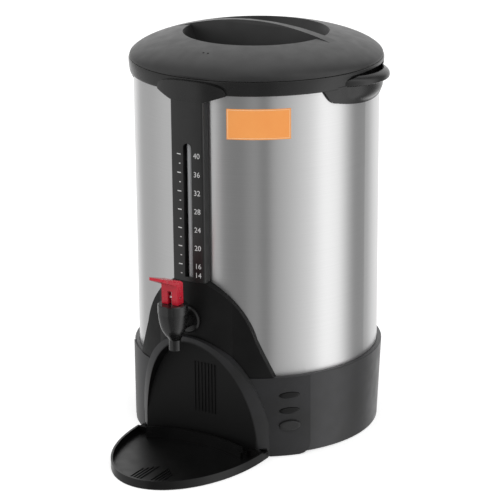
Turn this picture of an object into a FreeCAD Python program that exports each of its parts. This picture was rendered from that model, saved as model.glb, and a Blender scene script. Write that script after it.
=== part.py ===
import FreeCAD, Part
import math
import os
import re
import Sketcher

# Coffee urn of about forty cups: a steel drum on a black base, with a percolator inside,
# a level gauge and a tap at the front, and a lift-off lid.
# Frame: origin on the drum's axis at table level, +Z up, the tap and the gauge face -Y.

doc = FreeCAD.newDocument("CoffeeUrn")
sizes = doc.addObject("Spreadsheet::Sheet", "Sizes")

# Driving dimensions, in millimetres and degrees
DRIVING = [
    # clearances and stock
    ("fit_gap", 0.3), ("running_gap", 0.1), ("seat_gap", 0.05), ("moulding_wall", 2.6), ("rim_edge", 0.8),
    # drum and tank
    ("barrel_radius", 108), ("barrel_wall", 0.8), ("barrel_bottom", 66.5), ("barrel_top", 331),
    ("rim_flange", 2.4), ("floor_height", 108.6), ("floor_flange", 5), ("well_radius", 34), ("well_depth", 12),
    ("well_slope", 4),
    # heater under the well
    ("heater_thickness", 6), ("heater_margin", 2), ("element_ring", 22), ("element_radius", 3.3),
    ("element_arc", 320), ("terminal_drop", 12), ("stud_ring", 30), ("stud_radius", 1.9), ("stud_count", 3),
    ("nut_width", 7), ("nut_height", 3), ("thermostat_radius", 8), ("thermostat_height", 9), ("fuse_radius", 2.6),
    ("fuse_length", 14),
    # base ring
    ("base_bottom", 0.8), ("base_radius_low", 108.6), ("base_radius_high", 111.2), ("base_lip_radius", 111.8),
    ("base_lip_bottom", 63.8), ("base_top", 73.6), ("ledge_inner", 104.6), ("panel_screw_low", 18), ("panel_screw_high", 50), ("panel_screw_radius", 1.2), ("panel_screw_head", 2.4),
    ("boss_ring", 98.5), ("boss_radius", 4.6),
    ("boss_front_angle", 68), ("boss_rear_angle", 148), ("foot_front_angle", 50), ("foot_rear_angle", 130),
    # bottom plate, feet and base screws
    ("plate_underside", 2.4), ("plate_thickness", 2), ("foot_ring", 84), ("foot_radius", 9), ("foot_stem", 3),
    ("screw_radius", 1.8), ("screw_head", 3.6), ("screw_head_height", 1.5), ("screw_length", 12),
    # front panel: niche, arched frame and apron
    ("niche_half_width", 57), ("niche_height", 101), ("niche_floor", 3), ("niche_back", 93), ("niche_scoop", 200),
    ("niche_wall", 2.4), ("frame_side_band", 10), ("frame_top_band", 5), ("frame_front", 121.6),
    ("frame_crown", 87), ("apron_radius", 113), ("apron_wall", 3.2), ("apron_angle", 54), ("apron_window", 50.5),
    ("apron_bottom", 6), ("apron_top", 62.5), ("apron_corner", 6), ("rib_count", 7), ("rib_pitch", 3.4),
    ("rib_height", 46), ("rib_bottom", 30), ("rib_depth", 0.8),
    ("notch_width", 11.5), ("notch_height", 8.5), ("notch_depth", 15),
    # front shroud and level gauge
    ("gauge_front", 118), ("gauge_crown", 64.4), ("gauge_half_width", 16), ("gauge_corner", 2), ("gauge_wall", 2),
    ("gauge_bottom", 158.6), ("gauge_top", 316.6), ("shroud_radius", 112.6), ("shroud_foot_half", 67.5),
    ("shroud_mid_half", 54.3), ("shroud_mid_height", 108), ("shroud_shoulder_half", 39.5),
    ("shroud_shoulder_height", 138.5),
    ("slot_centre", 1.2), ("slot_half_width", 4.1), ("slot_bottom", 162.5), ("slot_top", 280.5),
    ("tube_radius", 3), ("tube_bore", 2.1), ("tube_axis", 112.2), ("tube_bottom", 150), ("tube_top", 309),
    ("elbow_height", 145.5), ("elbow_radius", 4.6), ("nipple_radius", 3), ("nipple_bore", 1.8),
    ("nipple_inside", 8), ("elbow_nut_width", 10), ("elbow_nut_height", 3.4), ("seal_thickness", 0.7),
    # top collar with side handles and gauge hood
    ("collar_bottom", 320.5), ("collar_radius_low", 110.6), ("collar_radius", 112), ("collar_top", 334.7),
    ("collar_lip_radius", 104.6), ("hood_half_width", 36), ("hood_shoulder", 323.5), ("hood_top", 333.4),
    ("handle_angle", 20.5), ("handle_skirt_angle", 30), ("handle_bottom", 302.4), ("handle_reach", 123.6),
    ("handle_plan_radius", 84.9), ("handle_top", 333.2), ("handle_gap_outer", 117.6), ("handle_gap_floor", 321.4),
    ("handle_half_length", 54), ("handle_wall_inner", 111.2),
    # lid
    ("lid_radius", 111.2), ("lid_rim_bottom", 335), ("lid_shoulder", 336.6), ("lid_crown", 360),
    ("dome_side_power", 0.87), ("dome_rise_power", 1.25), ("lid_wall", 2.6),
    ("lid_skirt_bottom", 323), ("scoop_radius", 67), ("scoop_floor_radius", 58), ("scoop_floor", 339),
    ("grip_half_length", 82), ("grip_top", 364.6), ("grip_half_thickness", 4.2), ("grip_foot_half", 8.5),
    ("vent_radius", 1), ("vent_ring", 84), ("vent_pitch", 4.4),
    # percolator
    ("pump_radius", 4.8), ("pump_wall", 0.7), ("pump_bottom", 104), ("pump_top", 322), ("foot_bell_radius", 27),
    ("bell_bottom", 97.8), ("bell_height", 12), ("basket_radius", 52), ("basket_bottom", 236),
    ("basket_height", 62), ("sheet", 0.8), ("stop_radius", 8), ("stop_height", 3), ("sleeve_radius", 6.2),
    ("cover_lip", 5), ("hole_radius", 1.6), ("hole_rings", 3), ("holes_inner_ring", 8), ("hole_ring_pitch", 12),
    # tap
    ("tap_axis", 142.6), ("shank_height", 124.8), ("shank_radius", 6.6), ("shank_bore", 4), ("shank_inside", 12),
    ("tap_rim_height", 146.2), ("tap_radius", 12.9), ("tap_joint_height", 138), ("spout_bottom", 103.8),
    ("spout_radius", 5.2), ("spout_bore", 3.4), ("spout_axis", 140.2), ("chamber_radius", 8.4), ("chamber_low_radius", 6.8),
    ("seat_height", 120), ("flange_radius", 12), ("flange_thickness", 3), ("tap_nut_width", 20),
    ("tap_nut_height", 4.5), ("washer_radius", 10.5), ("washer_thickness", 1.6), ("seal_front", 111.5), ("stem_radius", 1.6),
    ("stem_head_height", 157), ("cup_radius", 6.2), ("cup_height", 4.2), ("spring_radius", 4.2),
    ("spring_wire", 0.8), ("spring_turns", 5),
    # tap lever
    ("pin_height", 152.2), ("pin_radius", 1.25), ("lever_half_width", 8), ("lever_slot_half", 2.1),
    ("foot_half_length", 4.6), ("paddle_reach", 168), ("paddle_rise", 10.4), ("paddle_root", 165),
    ("paddle_thickness", 3.6), ("paddle_tip_thickness", 2.6), ("lever_back", 138.6), ("paddle_corner", 3.2),
    # drip tray
    ("tray_half_width", 65), ("tray_length", 102), ("tray_hinge", 103), ("tray_back_mid", 101.5),
    ("tray_back_half", 50), ("tray_back_side", 112.5), ("tray_underside", 0.5), ("tray_floor", 2.6),
    ("tray_rim", 8.2), ("tray_wall", 2.2), ("tray_back_rim", 13.4), ("tray_rib_width", 1.2), ("tray_rib_height", 0.8),
    ("tray_rib_pitch", 3.2), ("tray_ribs", 4), ("hook_width", 4.5), ("hook_height", 6),
    # controls
    ("control_angle", 44), ("lamp_half_width", 9.2), ("lamp_half_height", 2.7), ("lamp_upper", 55.5),
    ("lamp_lower", 42), ("lens_proud", 0.7), ("button_height", 27.6), ("button_half_width", 9.3),
    ("button_half_height", 4.5), ("button_proud", 2.6), ("button_travel", 2), ("button_flange", 1.4), ("button_inset", 0.85),
    ("switch_depth", 18), ("switch_half_width", 8), ("switch_half_height", 6.6), ("switch_gap", 4.6), ("lamp_body_radius", 3.2), ("lamp_body_length", 12),
    ("gland_height", 22), ("gland_radius", 6), ("gland_bore", 3.7), ("gland_flange", 9), ("gland_proud", 3.2),
]
for row, (alias, number) in enumerate(DRIVING, start=1):
    sizes.set("A%d" % row, alias)
    sizes.set("B%d" % row, str(number))
    sizes.setAlias("B%d" % row, alias)
doc.recompute()

AXIS_Z = FreeCAD.Vector(0, 0, 1)
AXIS_Y = FreeCAD.Vector(0, 1, 0)
AXIS_X = FreeCAD.Vector(1, 0, 0)
FORWARD = FreeCAD.Vector(0, -1, 0)
FULL_TURN = 360
FAR = 400
subparts = []


def v(x, y, z):
    return FreeCAD.Vector(x, y, z)


def bound(text):
    # Names every size in a formula as a cell of the sheet
    return re.sub(r"[a-z][a-z_]*(?!\w|\()", lambda found: "Sizes." + found.group(0), text)


def size(text):
    return float(sizes.evalExpression(bound(text)))


def keep(node, thing):
    thing.Label = node
    subparts.append(thing)
    return thing


def place(thing, x="0", y="0", z="0"):
    # Moves a sub-part to a place given by formulas
    for axis, text in (("x", x), ("y", y), ("z", z)):
        thing.setExpression("Placement.Base." + axis, bound(text))


def turned(node, corners, turn=None, at=("0", "0", "0")):
    # A body turned about its own Z axis from corners (radius, height)
    body = doc.addObject("PartDesign::Body", "Body_" + node)
    sketch = profile(body, "Profile_" + node, "XZ_Plane", corners)
    revolve = body.newObject("PartDesign::Revolution", "Turn_" + node)
    revolve.Profile = sketch
    revolve.ReferenceAxis = (sketch, ["V_Axis"])
    revolve.Angle = FULL_TURN
    body.Tip = revolve
    if turn is not None:
        body.Placement = FreeCAD.Placement(v(0, 0, 0), FreeCAD.Rotation(*turn))
    place(body, *at)
    return keep(node, body)


def profile(body, name, plane_role, corners):
    # A closed outline whose corners are held by formulas
    plane = [item for item in body.Origin.OriginFeatures if item.Role == plane_role][0]
    sketch = body.newObject("Sketcher::SketchObject", name)
    sketch.AttachmentSupport = [(plane, "")]
    sketch.MapMode = "FlatFace"
    points = [v(size(across), size(up), 0) for across, up in corners]
    count = len(points)
    for index in range(count):
        sketch.addGeometry(Part.LineSegment(points[index], points[(index + 1) % count]), False)
    for index in range(count):
        sketch.addConstraint(Sketcher.Constraint("Coincident", index, 2, (index + 1) % count, 1))
    for index, (across, up) in enumerate(corners):
        for kind, text, number in (("DistanceX", across, points[index].x), ("DistanceY", up, points[index].y)):
            held = sketch.addConstraint(Sketcher.Constraint(kind, -1, 1, index, 1, number))
            sketch.setExpression("Constraints[%d]" % held, bound(text))
    return sketch


def carved(node, shape):
    # A piece whose shape is worked out from the sheet's sizes
    thing = doc.addObject("Part::Feature", "Shape_" + node)
    thing.Shape = shape
    thing.Placement = shape.Placement
    return keep(node, thing)


def cylinder(radius, low, high, x=0.0, y=0.0):
    return Part.makeCylinder(radius, high - low, v(x, y, low))


def ring(outer, inner, low, high):
    return cylinder(outer, low, high).cut(cylinder(inner, low - 1, high + 1))


def block(x_low, x_high, y_low, y_high, z_low, z_high):
    return Part.makeBox(x_high - x_low, y_high - y_low, z_high - z_low, v(x_low, y_low, z_low))


def wire_face(points):
    return Part.Face(Part.makePolygon([v(*point) for point in points] + [v(*points[0])]))


def turned_shape(corners, degrees=FULL_TURN, start=0.0):
    # A solid turned about Z from (radius, height) corners, from a start angle measured from +X
    face = wire_face([(radius, 0, height) for radius, height in corners])
    face.rotate(v(0, 0, 0), AXIS_Z, start)
    return face.revolve(v(0, 0, 0), AXIS_Z, degrees)


def sector(outer, inner, low, high, half_angle, middle=-90.0):
    # Part of a ring, to each side of a direction measured from +X
    corners = [(inner, low), (outer, low), (outer, high), (inner, high)]
    return turned_shape(corners, 2 * half_angle, middle - half_angle)


def half_ellipse(half_width, height, base, depth=0.0):
    # Upper half of an ellipse in the XZ plane, as a face at the given y
    centre = v(0, depth, base)
    top = v(0, depth, base + height)
    side = v(half_width, depth, base)
    ellipse = Part.Ellipse(top, side, centre) if height >= half_width else Part.Ellipse(side, top, centre)
    left = v(-half_width, depth, base)
    start = ellipse.parameter(side)
    finish = ellipse.parameter(left)
    arc = Part.ArcOfEllipse(ellipse, start, finish).toShape()
    middle = arc.valueAt(0.5 * (arc.FirstParameter + arc.LastParameter))
    if middle.z < base:
        arc = Part.ArcOfEllipse(ellipse, finish, start).toShape()
    ends = [vertex.Point for vertex in arc.Vertexes]
    return Part.Face(Part.Wire([arc, Part.makeLine(ends[1], ends[0])]))


def arch(half_width, height, base, front, back):
    # An arch-shaped bar that runs along Y
    face = half_ellipse(half_width, height, base, -front)
    return face.extrude(v(0, front - back, 0))


def polar(radius, angle):
    # Plan position at an angle from the front, positive towards +X
    turn = math.radians(angle)
    return radius * math.sin(turn), -radius * math.cos(turn)


def grouped(node, shapes):
    return carved(node, Part.makeCompound(shapes))


def copies(shape, count, start=0.0):
    turned_copies = []
    for index in range(count):
        copy = shape.copy()
        copy.rotate(v(0, 0, 0), AXIS_Z, start + index * FULL_TURN / count)
        turned_copies.append(copy)
    return turned_copies


def mirrored(shape, front_angle, rear_angle):
    # The same piece at two angles from the front, on both sides
    placed = []
    for angle in (front_angle, rear_angle, -front_angle, -rear_angle):
        copy = shape.copy()
        copy.rotate(v(0, 0, 0), AXIS_Z, angle)
        placed.append(copy)
    return placed


def at_bosses(shape):
    return mirrored(shape, size("boss_front_angle"), size("boss_rear_angle"))


def at_feet(shape):
    return mirrored(shape, size("foot_front_angle"), size("foot_rear_angle"))


def hexagon(width, height, base=0.0):
    # A hexagonal bar across its flats, along Z
    corner = width / math.sqrt(3)
    points = []
    for index in range(6):
        turn = math.radians(60 * index)
        points.append((corner * math.cos(turn), corner * math.sin(turn), base))
    return wire_face(points).extrude(v(0, 0, height))


def oval(half_width, half_height, depth):
    # A rounded bar along Z, wide in X
    straight = half_width - half_height
    middle = block(-straight, straight, -half_height, half_height, 0, depth)
    ends = [Part.makeCylinder(half_height, depth, v(side * straight, 0, 0)) for side in (-1, 1)]
    return middle.fuse(ends).removeSplitter()


def outwards(shape, radius, height, angle):
    # Stands a shape, made along Z, at an angle from the front so that its Z points outwards
    x, y = polar(radius, angle)
    shape.rotate(v(0, 0, 0), AXIS_X, 90)
    shape.rotate(v(0, 0, 0), AXIS_Z, angle)
    shape.translate(v(x, y, height))
    return shape


def on_panel(shape, radius, height):
    return outwards(shape, radius, height, size("control_angle"))


def coil(radius, wire, length, turns, base):
    # A coil spring along Z, from base upwards, as one swept tube
    helix = Part.makeHelix(length / turns, length, radius)
    helix.translate(v(0, 0, base))
    section = Part.Wire(Part.makeCircle(wire / 2, v(radius, 0, base), AXIS_Y))
    return Part.Wire(helix).makePipeShell([section], True, False)


def crown(front, radius, low, high):
    # A tall round bar whose foremost line is at y = -front
    return cylinder(radius, low, high, 0, radius - front)


# Drum of the urn: a rolled steel shell with an inward rim flange and an opening in its skirt for the niche
def make_barrel():
    outer = size("barrel_radius")
    inner = outer - size("barrel_wall")
    bottom = size("barrel_bottom")
    top = size("barrel_top")
    flange = outer - size("rim_flange")
    flange_under = top - size("barrel_wall")
    shell = turned_shape([(inner, bottom), (outer, bottom), (outer, top), (flange, top),
                          (flange, flange_under), (inner, flange_under)])
    spare = size("niche_wall + 1")
    shell = shell.cut(arch(size("niche_half_width") + spare, size("niche_height") + spare,
                           size("niche_floor"), FAR, 60))
    shank = Part.makeCylinder(size("shank_radius + fit_gap"), 60, v(0, -80, size("shank_height")), FORWARD)
    nipple = Part.makeCylinder(size("nipple_radius + fit_gap"), 60,
                               v(size("slot_centre"), -80, size("elbow_height")), FORWARD)
    return carved("barrel_shell", shell.cut([shank, nipple]))


# Tank floor: a pressed steel pan with an upturned flange and a central heater well
def make_tank_floor():
    edge = "barrel_radius - barrel_wall - seat_gap"
    well_top = "floor_height"
    well_under = "floor_height - well_depth"
    turned("tank_floor", [
        ("0", well_under),
        ("well_radius", well_under),
        ("well_radius + well_slope", well_top),
        (edge, well_top),
        (edge, "floor_height + floor_flange"),
        (edge + " - barrel_wall", "floor_height + floor_flange"),
        (edge + " - barrel_wall", "floor_height + barrel_wall"),
        ("well_radius + well_slope - barrel_wall / 2", "floor_height + barrel_wall"),
        ("well_radius - barrel_wall / 2", well_under + " + barrel_wall"),
        ("0", well_under + " + barrel_wall"),
    ])


# Heater: a cast plate clamped under the well by studs, with a tubular element let into its underside
def make_heater():
    top = size("floor_height - well_depth")
    bottom = top - size("heater_thickness")
    plate_radius = size("well_radius - heater_margin + heater_margin / 2")
    ring_radius = size("element_ring")
    tube = size("element_radius")
    arc = size("element_arc")
    plate = cylinder(plate_radius, bottom, top)
    groove = Part.makeTorus(ring_radius, tube + size("seat_gap"), v(0, 0, bottom))
    studs = []
    nuts = []
    x, y = polar(size("stud_ring"), 0)
    hole = cylinder(size("stud_radius + fit_gap"), bottom - 1, top + 1, x, y)
    stud = cylinder(size("stud_radius"), bottom - size("nut_height") - 2, top, x, y)
    nut = hexagon(size("nut_width"), size("nut_height"), bottom - size("nut_height"))
    nut.translate(v(x, y, 0))
    nut = nut.cut(cylinder(size("stud_radius + seat_gap"), bottom - 10, top, x, y))
    count = int(size("stud_count"))
    plate = plate.cut([groove] + copies(hole, count))
    studs = copies(stud, count)
    nuts = copies(nut, count)
    carved("heater_plate", plate)
    grouped("heater_studs", studs)
    grouped("heater_nuts", nuts)
    element = Part.makeTorus(ring_radius, tube, v(0, 0, bottom), AXIS_Z, -180, 180, arc)
    for angle in (0, arc):
        turn = math.radians(angle)
        foot = v(ring_radius * math.cos(turn), ring_radius * math.sin(turn), bottom - size("terminal_drop"))
        element = element.fuse(Part.makeCylinder(tube, size("terminal_drop"), foot))
        element = element.fuse(Part.makeSphere(tube, foot + v(0, 0, size("terminal_drop"))))
    element.rotate(v(0, 0, 0), AXIS_Z, -90 - 0.5 * (FULL_TURN + arc) + 180)
    carved("heating_element", element.removeSplitter())
    disc = size("thermostat_height")
    thermostat = cylinder(size("thermostat_radius"), bottom - disc, bottom - size("seat_gap"))
    ears = block(-size("thermostat_radius") - 3, size("thermostat_radius") + 3, -3, 3,
                 bottom - size("seat_gap") - 1, bottom - size("seat_gap"))
    carved("thermostat", thermostat.fuse(ears).removeSplitter())
    fuse_side = size("thermostat_radius + fuse_radius + 1.2")
    fuse_centre = bottom - size("fuse_radius + seat_gap")
    fuse = Part.makeCylinder(size("fuse_radius"), size("fuse_length"),
                             v(-0.5 * size("fuse_length"), fuse_side, fuse_centre), AXIS_X)
    carved("thermal_fuse", fuse)


# Base ring: the black hoop that the drum stands in, open at the front for the panel
def make_base_ring():
    low = size("base_bottom")
    wall = size("moulding_wall")
    lip = size("base_lip_bottom")
    top = size("base_top")
    lip_radius = size("base_lip_radius")
    edge = size("rim_edge")
    groove = size("barrel_radius + fit_gap")
    seat = size("barrel_bottom - seat_gap")
    ledge = size("ledge_inner")
    hoop = turned_shape([
        (size("base_radius_low"), low), (size("base_radius_high"), lip), (lip_radius, lip + edge),
        (lip_radius, top - edge), (lip_radius - edge, top), (groove, top), (groove, seat), (ledge, seat),
        (ledge, seat - wall), (size("base_radius_high") - wall, seat - wall), (size("base_radius_low") - wall, low),
    ])
    gap = size("fit_gap")
    inner = 60
    window = sector(FAR, inner, size("apron_bottom + apron_corner / 2") - 2, size("apron_top") - 3,
                    size("apron_window"))
    rebate = sector(FAR, size("apron_radius - apron_wall") - gap, size("apron_bottom") - gap,
                    size("apron_top") + gap, size("apron_angle") + 0.3)
    band = size("frame_side_band") + gap
    half = size("niche_half_width") + band
    mouth = arch(half, size("niche_height + frame_top_band") + gap, size("niche_floor"), FAR, inner)
    mouth = mouth.fuse(block(-half, half, -FAR, -inner, -1, size("niche_floor"))).removeSplitter()
    hoop = hoop.cut([window, rebate, mouth])
    x, y = polar(size("boss_ring"), 0)
    boss_top = seat - wall
    boss_low = size("plate_underside + plate_thickness") + size("seat_gap")
    boss = cylinder(size("boss_radius"), boss_low, boss_top, x, y)
    middle = 0.5 * wall
    heart = turned_shape([(0, low), (size("base_radius_low") - middle, low),
                          (size("base_radius_high") - middle, boss_top), (0, boss_top)])
    web = block(-1.2, 1.2, -FAR, y, boss_low + 4, boss_top).common(heart)
    pilot = cylinder(size("screw_radius") - 0.2, boss_low - 1, boss_low + size("screw_length"), x, y)
    boss = boss.fuse(web).cut(pilot)
    hoop = hoop.fuse(at_bosses(boss))
    gland_hole = Part.makeCylinder(size("gland_radius") + gap, 40, v(0, 90, size("gland_height")), AXIS_Y)
    hoop = hoop.cut([gland_hole] + screw_places(size("apron_radius")))
    carved("base_ring", hoop.removeSplitter())


def niche_space(extra, base):
    # The scooped hollow behind the arched frame, or the same grown by a wall
    scoop = size("niche_scoop") + extra
    middle = -size("niche_back") - size("niche_scoop")
    hollow = arch(size("niche_half_width") + extra, size("niche_height") + extra, base, FAR / 2, 60)
    return hollow.common(cylinder(scoop, base - 1, FAR, 0, middle))


# Front panel: the apron with the controls, the raised arched frame and the niche for the cup
def make_front_panel():
    low = size("base_bottom")
    floor = size("niche_floor")
    apron = sector(size("apron_radius"), size("apron_radius - apron_wall"), size("apron_bottom"),
                   size("apron_top"), size("apron_angle"))
    corners = [edge for edge in apron.Edges if is_apron_corner(edge)]
    apron = apron.makeFillet(size("apron_corner"), corners)
    band = arch(size("niche_half_width + frame_side_band"), size("niche_height + frame_top_band"), floor, FAR / 2, 60)
    foot = block(-size("niche_half_width + frame_side_band"), size("niche_half_width + frame_side_band"),
                 -FAR / 2, -60, low, floor)
    solid = band.fuse(foot).common(crown(size("frame_front"), size("frame_crown"), low, FAR))
    bore_top = size("barrel_bottom") - size("fit_gap")
    inside = size("apron_radius - apron_wall")
    solid = solid.cut([cylinder(inside, -1, bore_top), cylinder(size("barrel_radius + fit_gap"), bore_top - 1, FAR)])
    wall = size("niche_wall")
    shell = niche_space(wall, floor).common(cylinder(inside + 0.5, 0, FAR))
    sill_front = -size("tray_back_mid") + size("fit_gap")
    sill = block(-size("niche_half_width") - wall, size("niche_half_width") + wall, sill_front,
                 -size("niche_back") + wall, low, floor)
    scoop_foot = cylinder(size("niche_scoop") + wall, low, floor, 0, -size("niche_back") - size("niche_scoop"))
    sill = sill.common(scoop_foot)
    threshold = block(-size("niche_half_width"), size("niche_half_width"), -FAR, sill_front, -1, floor + 1)
    panel = apron.fuse([solid, shell, sill]).cut([niche_space(0, floor), threshold])
    panel = panel.fuse(niche_ribs())
    panel = panel.cut(panel_openings())
    carved("front_panel", panel.removeSplitter())


def is_apron_corner(edge):
    # The short radial edges at the apron's four corners
    start, finish = edge.Vertexes[0].Point, edge.Vertexes[-1].Point
    return abs(start.z - finish.z) < 0.01 and edge.Length < size("apron_wall") + 0.1


def niche_ribs():
    ribs = []
    count = int(size("rib_count"))
    pitch = size("rib_pitch")
    scoop = size("niche_scoop")
    for index in range(count):
        x = (index - 0.5 * (count - 1)) * pitch
        wall_y = -size("niche_back") - scoop + math.sqrt(scoop * scoop - x * x)
        depth = size("rib_depth")
        ribs.append(block(x - 0.45, x + 0.45, wall_y - depth, wall_y + 1, size("rib_bottom"),
                          size("rib_bottom + rib_height")))
    return ribs


def panel_openings():
    # Lamp and button windows, and the two notches that hold the drip tray
    gap = size("fit_gap")
    cuts = []
    for height in (size("lamp_upper"), size("lamp_lower")):
        window = oval(size("lamp_half_width") + gap, size("lamp_half_height") + gap, 40)
        cuts.append(on_panel(window, size("apron_radius") - 20, height))
    window = oval(size("button_half_width") + gap, size("button_half_height") + gap, 40)
    cuts.append(on_panel(window, size("apron_radius") - 20, size("button_height")))
    for hole in screw_places(size("apron_radius") - size("apron_wall") + 2):
        cuts.append(hole)
    start = size("niche_half_width") + 1
    for side in (-1, 1):
        edges = sorted((side * start, side * (start + size("notch_width"))))
        back = -size("tray_hinge") + size("notch_depth") - 6
        cuts.append(block(edges[0], edges[1], -FAR, back, -1, size("notch_height")))
    return cuts


# Bottom plate under the base, with holes for the feet and the screws
def make_bottom_plate():
    low = size("plate_underside")
    high = low + size("plate_thickness")
    disc = cylinder(size("base_radius_low - moulding_wall - fit_gap"), low, high)
    mouth = arch(size("niche_half_width + frame_side_band + fit_gap"), size("niche_height"), -30, FAR, 60)
    niche = cylinder(size("niche_scoop + niche_wall + fit_gap"), -1, 20, 0,
                     -size("niche_back") - size("niche_scoop"))
    disc = disc.cut(mouth.common(niche))
    notch = block(-size("niche_half_width + frame_side_band + fit_gap"),
                  size("niche_half_width + frame_side_band + fit_gap"), -FAR,
                  -size("niche_back") + size("niche_wall + fit_gap"), -1, 20)
    disc = disc.cut(notch)
    x, y = polar(size("boss_ring"), 0)
    screw_hole = cylinder(size("screw_radius") + 0.2, low - 1, high + 1, x, y)
    x, y = polar(size("foot_ring"), 0)
    foot_hole = cylinder(size("foot_stem + seat_gap"), low - 1, high + 1, x, y)
    carved("bottom_plate", disc.cut(at_bosses(screw_hole) + at_feet(foot_hole)))


def make_feet_and_screws():
    low = size("plate_underside")
    high = low + size("plate_thickness")
    gap = size("seat_gap")
    stem = size("foot_stem")
    pad = size("foot_radius")
    foot = turned_shape([(0, 0), (pad - 1, 0), (pad, 1), (pad, low - gap), (stem, low - gap), (stem, high + gap),
                         (stem + 1.2, high + gap), (stem - 0.6, high + 3), (0, high + 3)])
    x, y = polar(size("foot_ring"), 0)
    foot.translate(v(x, y, 0))
    grouped("rubber_feet", at_feet(foot))
    head = size("screw_head")
    shank = size("screw_radius") - 0.2 - gap
    head_low = low - size("screw_head_height")
    screw = turned_shape([(0, head_low), (head - 0.6, head_low), (head, head_low + 0.6), (head, low - gap),
                          (shank, low - gap), (shank, high + size("screw_length") - 1), (0, high + size("screw_length"))])
    x, y = polar(size("boss_ring"), 0)
    screw.translate(v(x, y, 0))
    grouped("base_screws", at_bosses(screw))


def shroud_outline(base):
    # Bell-shaped outline in the XZ plane, from the gauge's sides down to the base
    half = size("gauge_half_width")
    top = size("gauge_bottom") - size("fit_gap")
    shoulder = (size("shroud_shoulder_half"), size("shroud_shoulder_height"))
    middle = (size("shroud_mid_half"), size("shroud_mid_height"))
    foot = (size("shroud_foot_half"), base)
    right = Part.Arc(v(half, 0, top), v(shoulder[0], 0, shoulder[1]), v(middle[0], 0, middle[1])).toShape()
    left = Part.Arc(v(-middle[0], 0, middle[1]), v(-shoulder[0], 0, shoulder[1]), v(-half, 0, top)).toShape()
    lines = [
        Part.makeLine(v(middle[0], 0, middle[1]), v(foot[0], 0, foot[1])),
        Part.makeLine(v(foot[0], 0, foot[1]), v(-foot[0], 0, foot[1])),
        Part.makeLine(v(-foot[0], 0, foot[1]), v(-middle[0], 0, middle[1])),
        Part.makeLine(v(-half, 0, top), v(half, 0, top)),
    ]
    return Part.Face(Part.Wire([right, lines[0], lines[1], lines[2], left, lines[3]]))


# Front shroud: the bell-shaped cover between the level gauge and the base
def make_front_shroud():
    base = size("base_top + fit_gap")
    bar = shroud_outline(base)
    bar.translate(v(0, -FAR / 2, 0))
    bar = bar.extrude(v(0, FAR / 2 - 60, 0))
    skin = bar.common(cylinder(size("shroud_radius"), base - 1, FAR))
    swell = bar.common(crown(size("gauge_front"), size("gauge_crown"), base - 1, FAR))
    cover = skin.fuse(swell).cut(cylinder(size("barrel_radius + fit_gap"), 0, FAR))
    gap = size("fit_gap")
    frame = arch(size("niche_half_width + frame_side_band") + gap, size("niche_height + frame_top_band") + gap,
                 size("niche_floor"), FAR, 60)
    pocket_half = size("elbow_radius + fit_gap") + 1
    centre = size("slot_centre")
    inner_front = size("gauge_front - gauge_wall")
    pocket = block(centre - pocket_half, centre + pocket_half, -inner_front, -60,
                   size("elbow_height") - pocket_half, FAR)
    height = size("shank_height")
    shank = Part.makeCylinder(size("shank_radius + fit_gap"), 80, v(0, -60, height), FORWARD)
    washer = Part.makeCylinder(size("washer_radius + fit_gap"), size("seal_front") - 60, v(0, -60, height), FORWARD)
    carved("front_shroud", cover.cut([frame, pocket, shank, washer]).removeSplitter())


# Gauge column: a hollow cover with a long slot in front of the sight tube
def make_gauge_column():
    half = size("gauge_half_width")
    low = size("gauge_bottom")
    high = size("gauge_top")
    front = size("gauge_front")
    bar = block(-half, half, -front - 5, -60, low, high)
    column = bar.common(crown(front, size("gauge_crown"), low - 1, high + 1))
    uprights = [edge for edge in column.Edges if is_upright(edge, high - low) and edge.Vertexes[0].Point.y < -110]
    column = column.makeFillet(size("gauge_corner"), uprights)
    centre = size("slot_centre")
    channel = size("tube_radius") + 1.6
    wall = size("gauge_wall")
    column = column.cut(cylinder(size("barrel_radius + fit_gap"), 0, FAR))
    column = column.cut(block(centre - channel, centre + channel, -(front - wall), -60, low - 1, high + 1))
    for side in (-1, 1):
        edges = sorted((centre + side * (channel + wall), side * (half - wall)))
        column = column.cut(block(edges[0], edges[1], -(front - wall) + 1.6, -60, low + wall, high - wall))
    reach = size("slot_half_width")
    slot = block(centre - reach, centre + reach, -FAR, -(front - wall) + 0.5, size("slot_bottom"), size("slot_top") - reach)
    crest = Part.makeCylinder(reach, FAR, v(centre, -(front - wall) + 0.5, size("slot_top") - reach), FORWARD)
    carved("gauge_column", column.cut([slot, crest]).removeSplitter())


def is_upright(edge, length):
    start, finish = edge.Vertexes[0].Point, edge.Vertexes[-1].Point
    return abs(abs(start.z - finish.z) - length) < 0.01 and abs(start.x - finish.x) < 0.01


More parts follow.
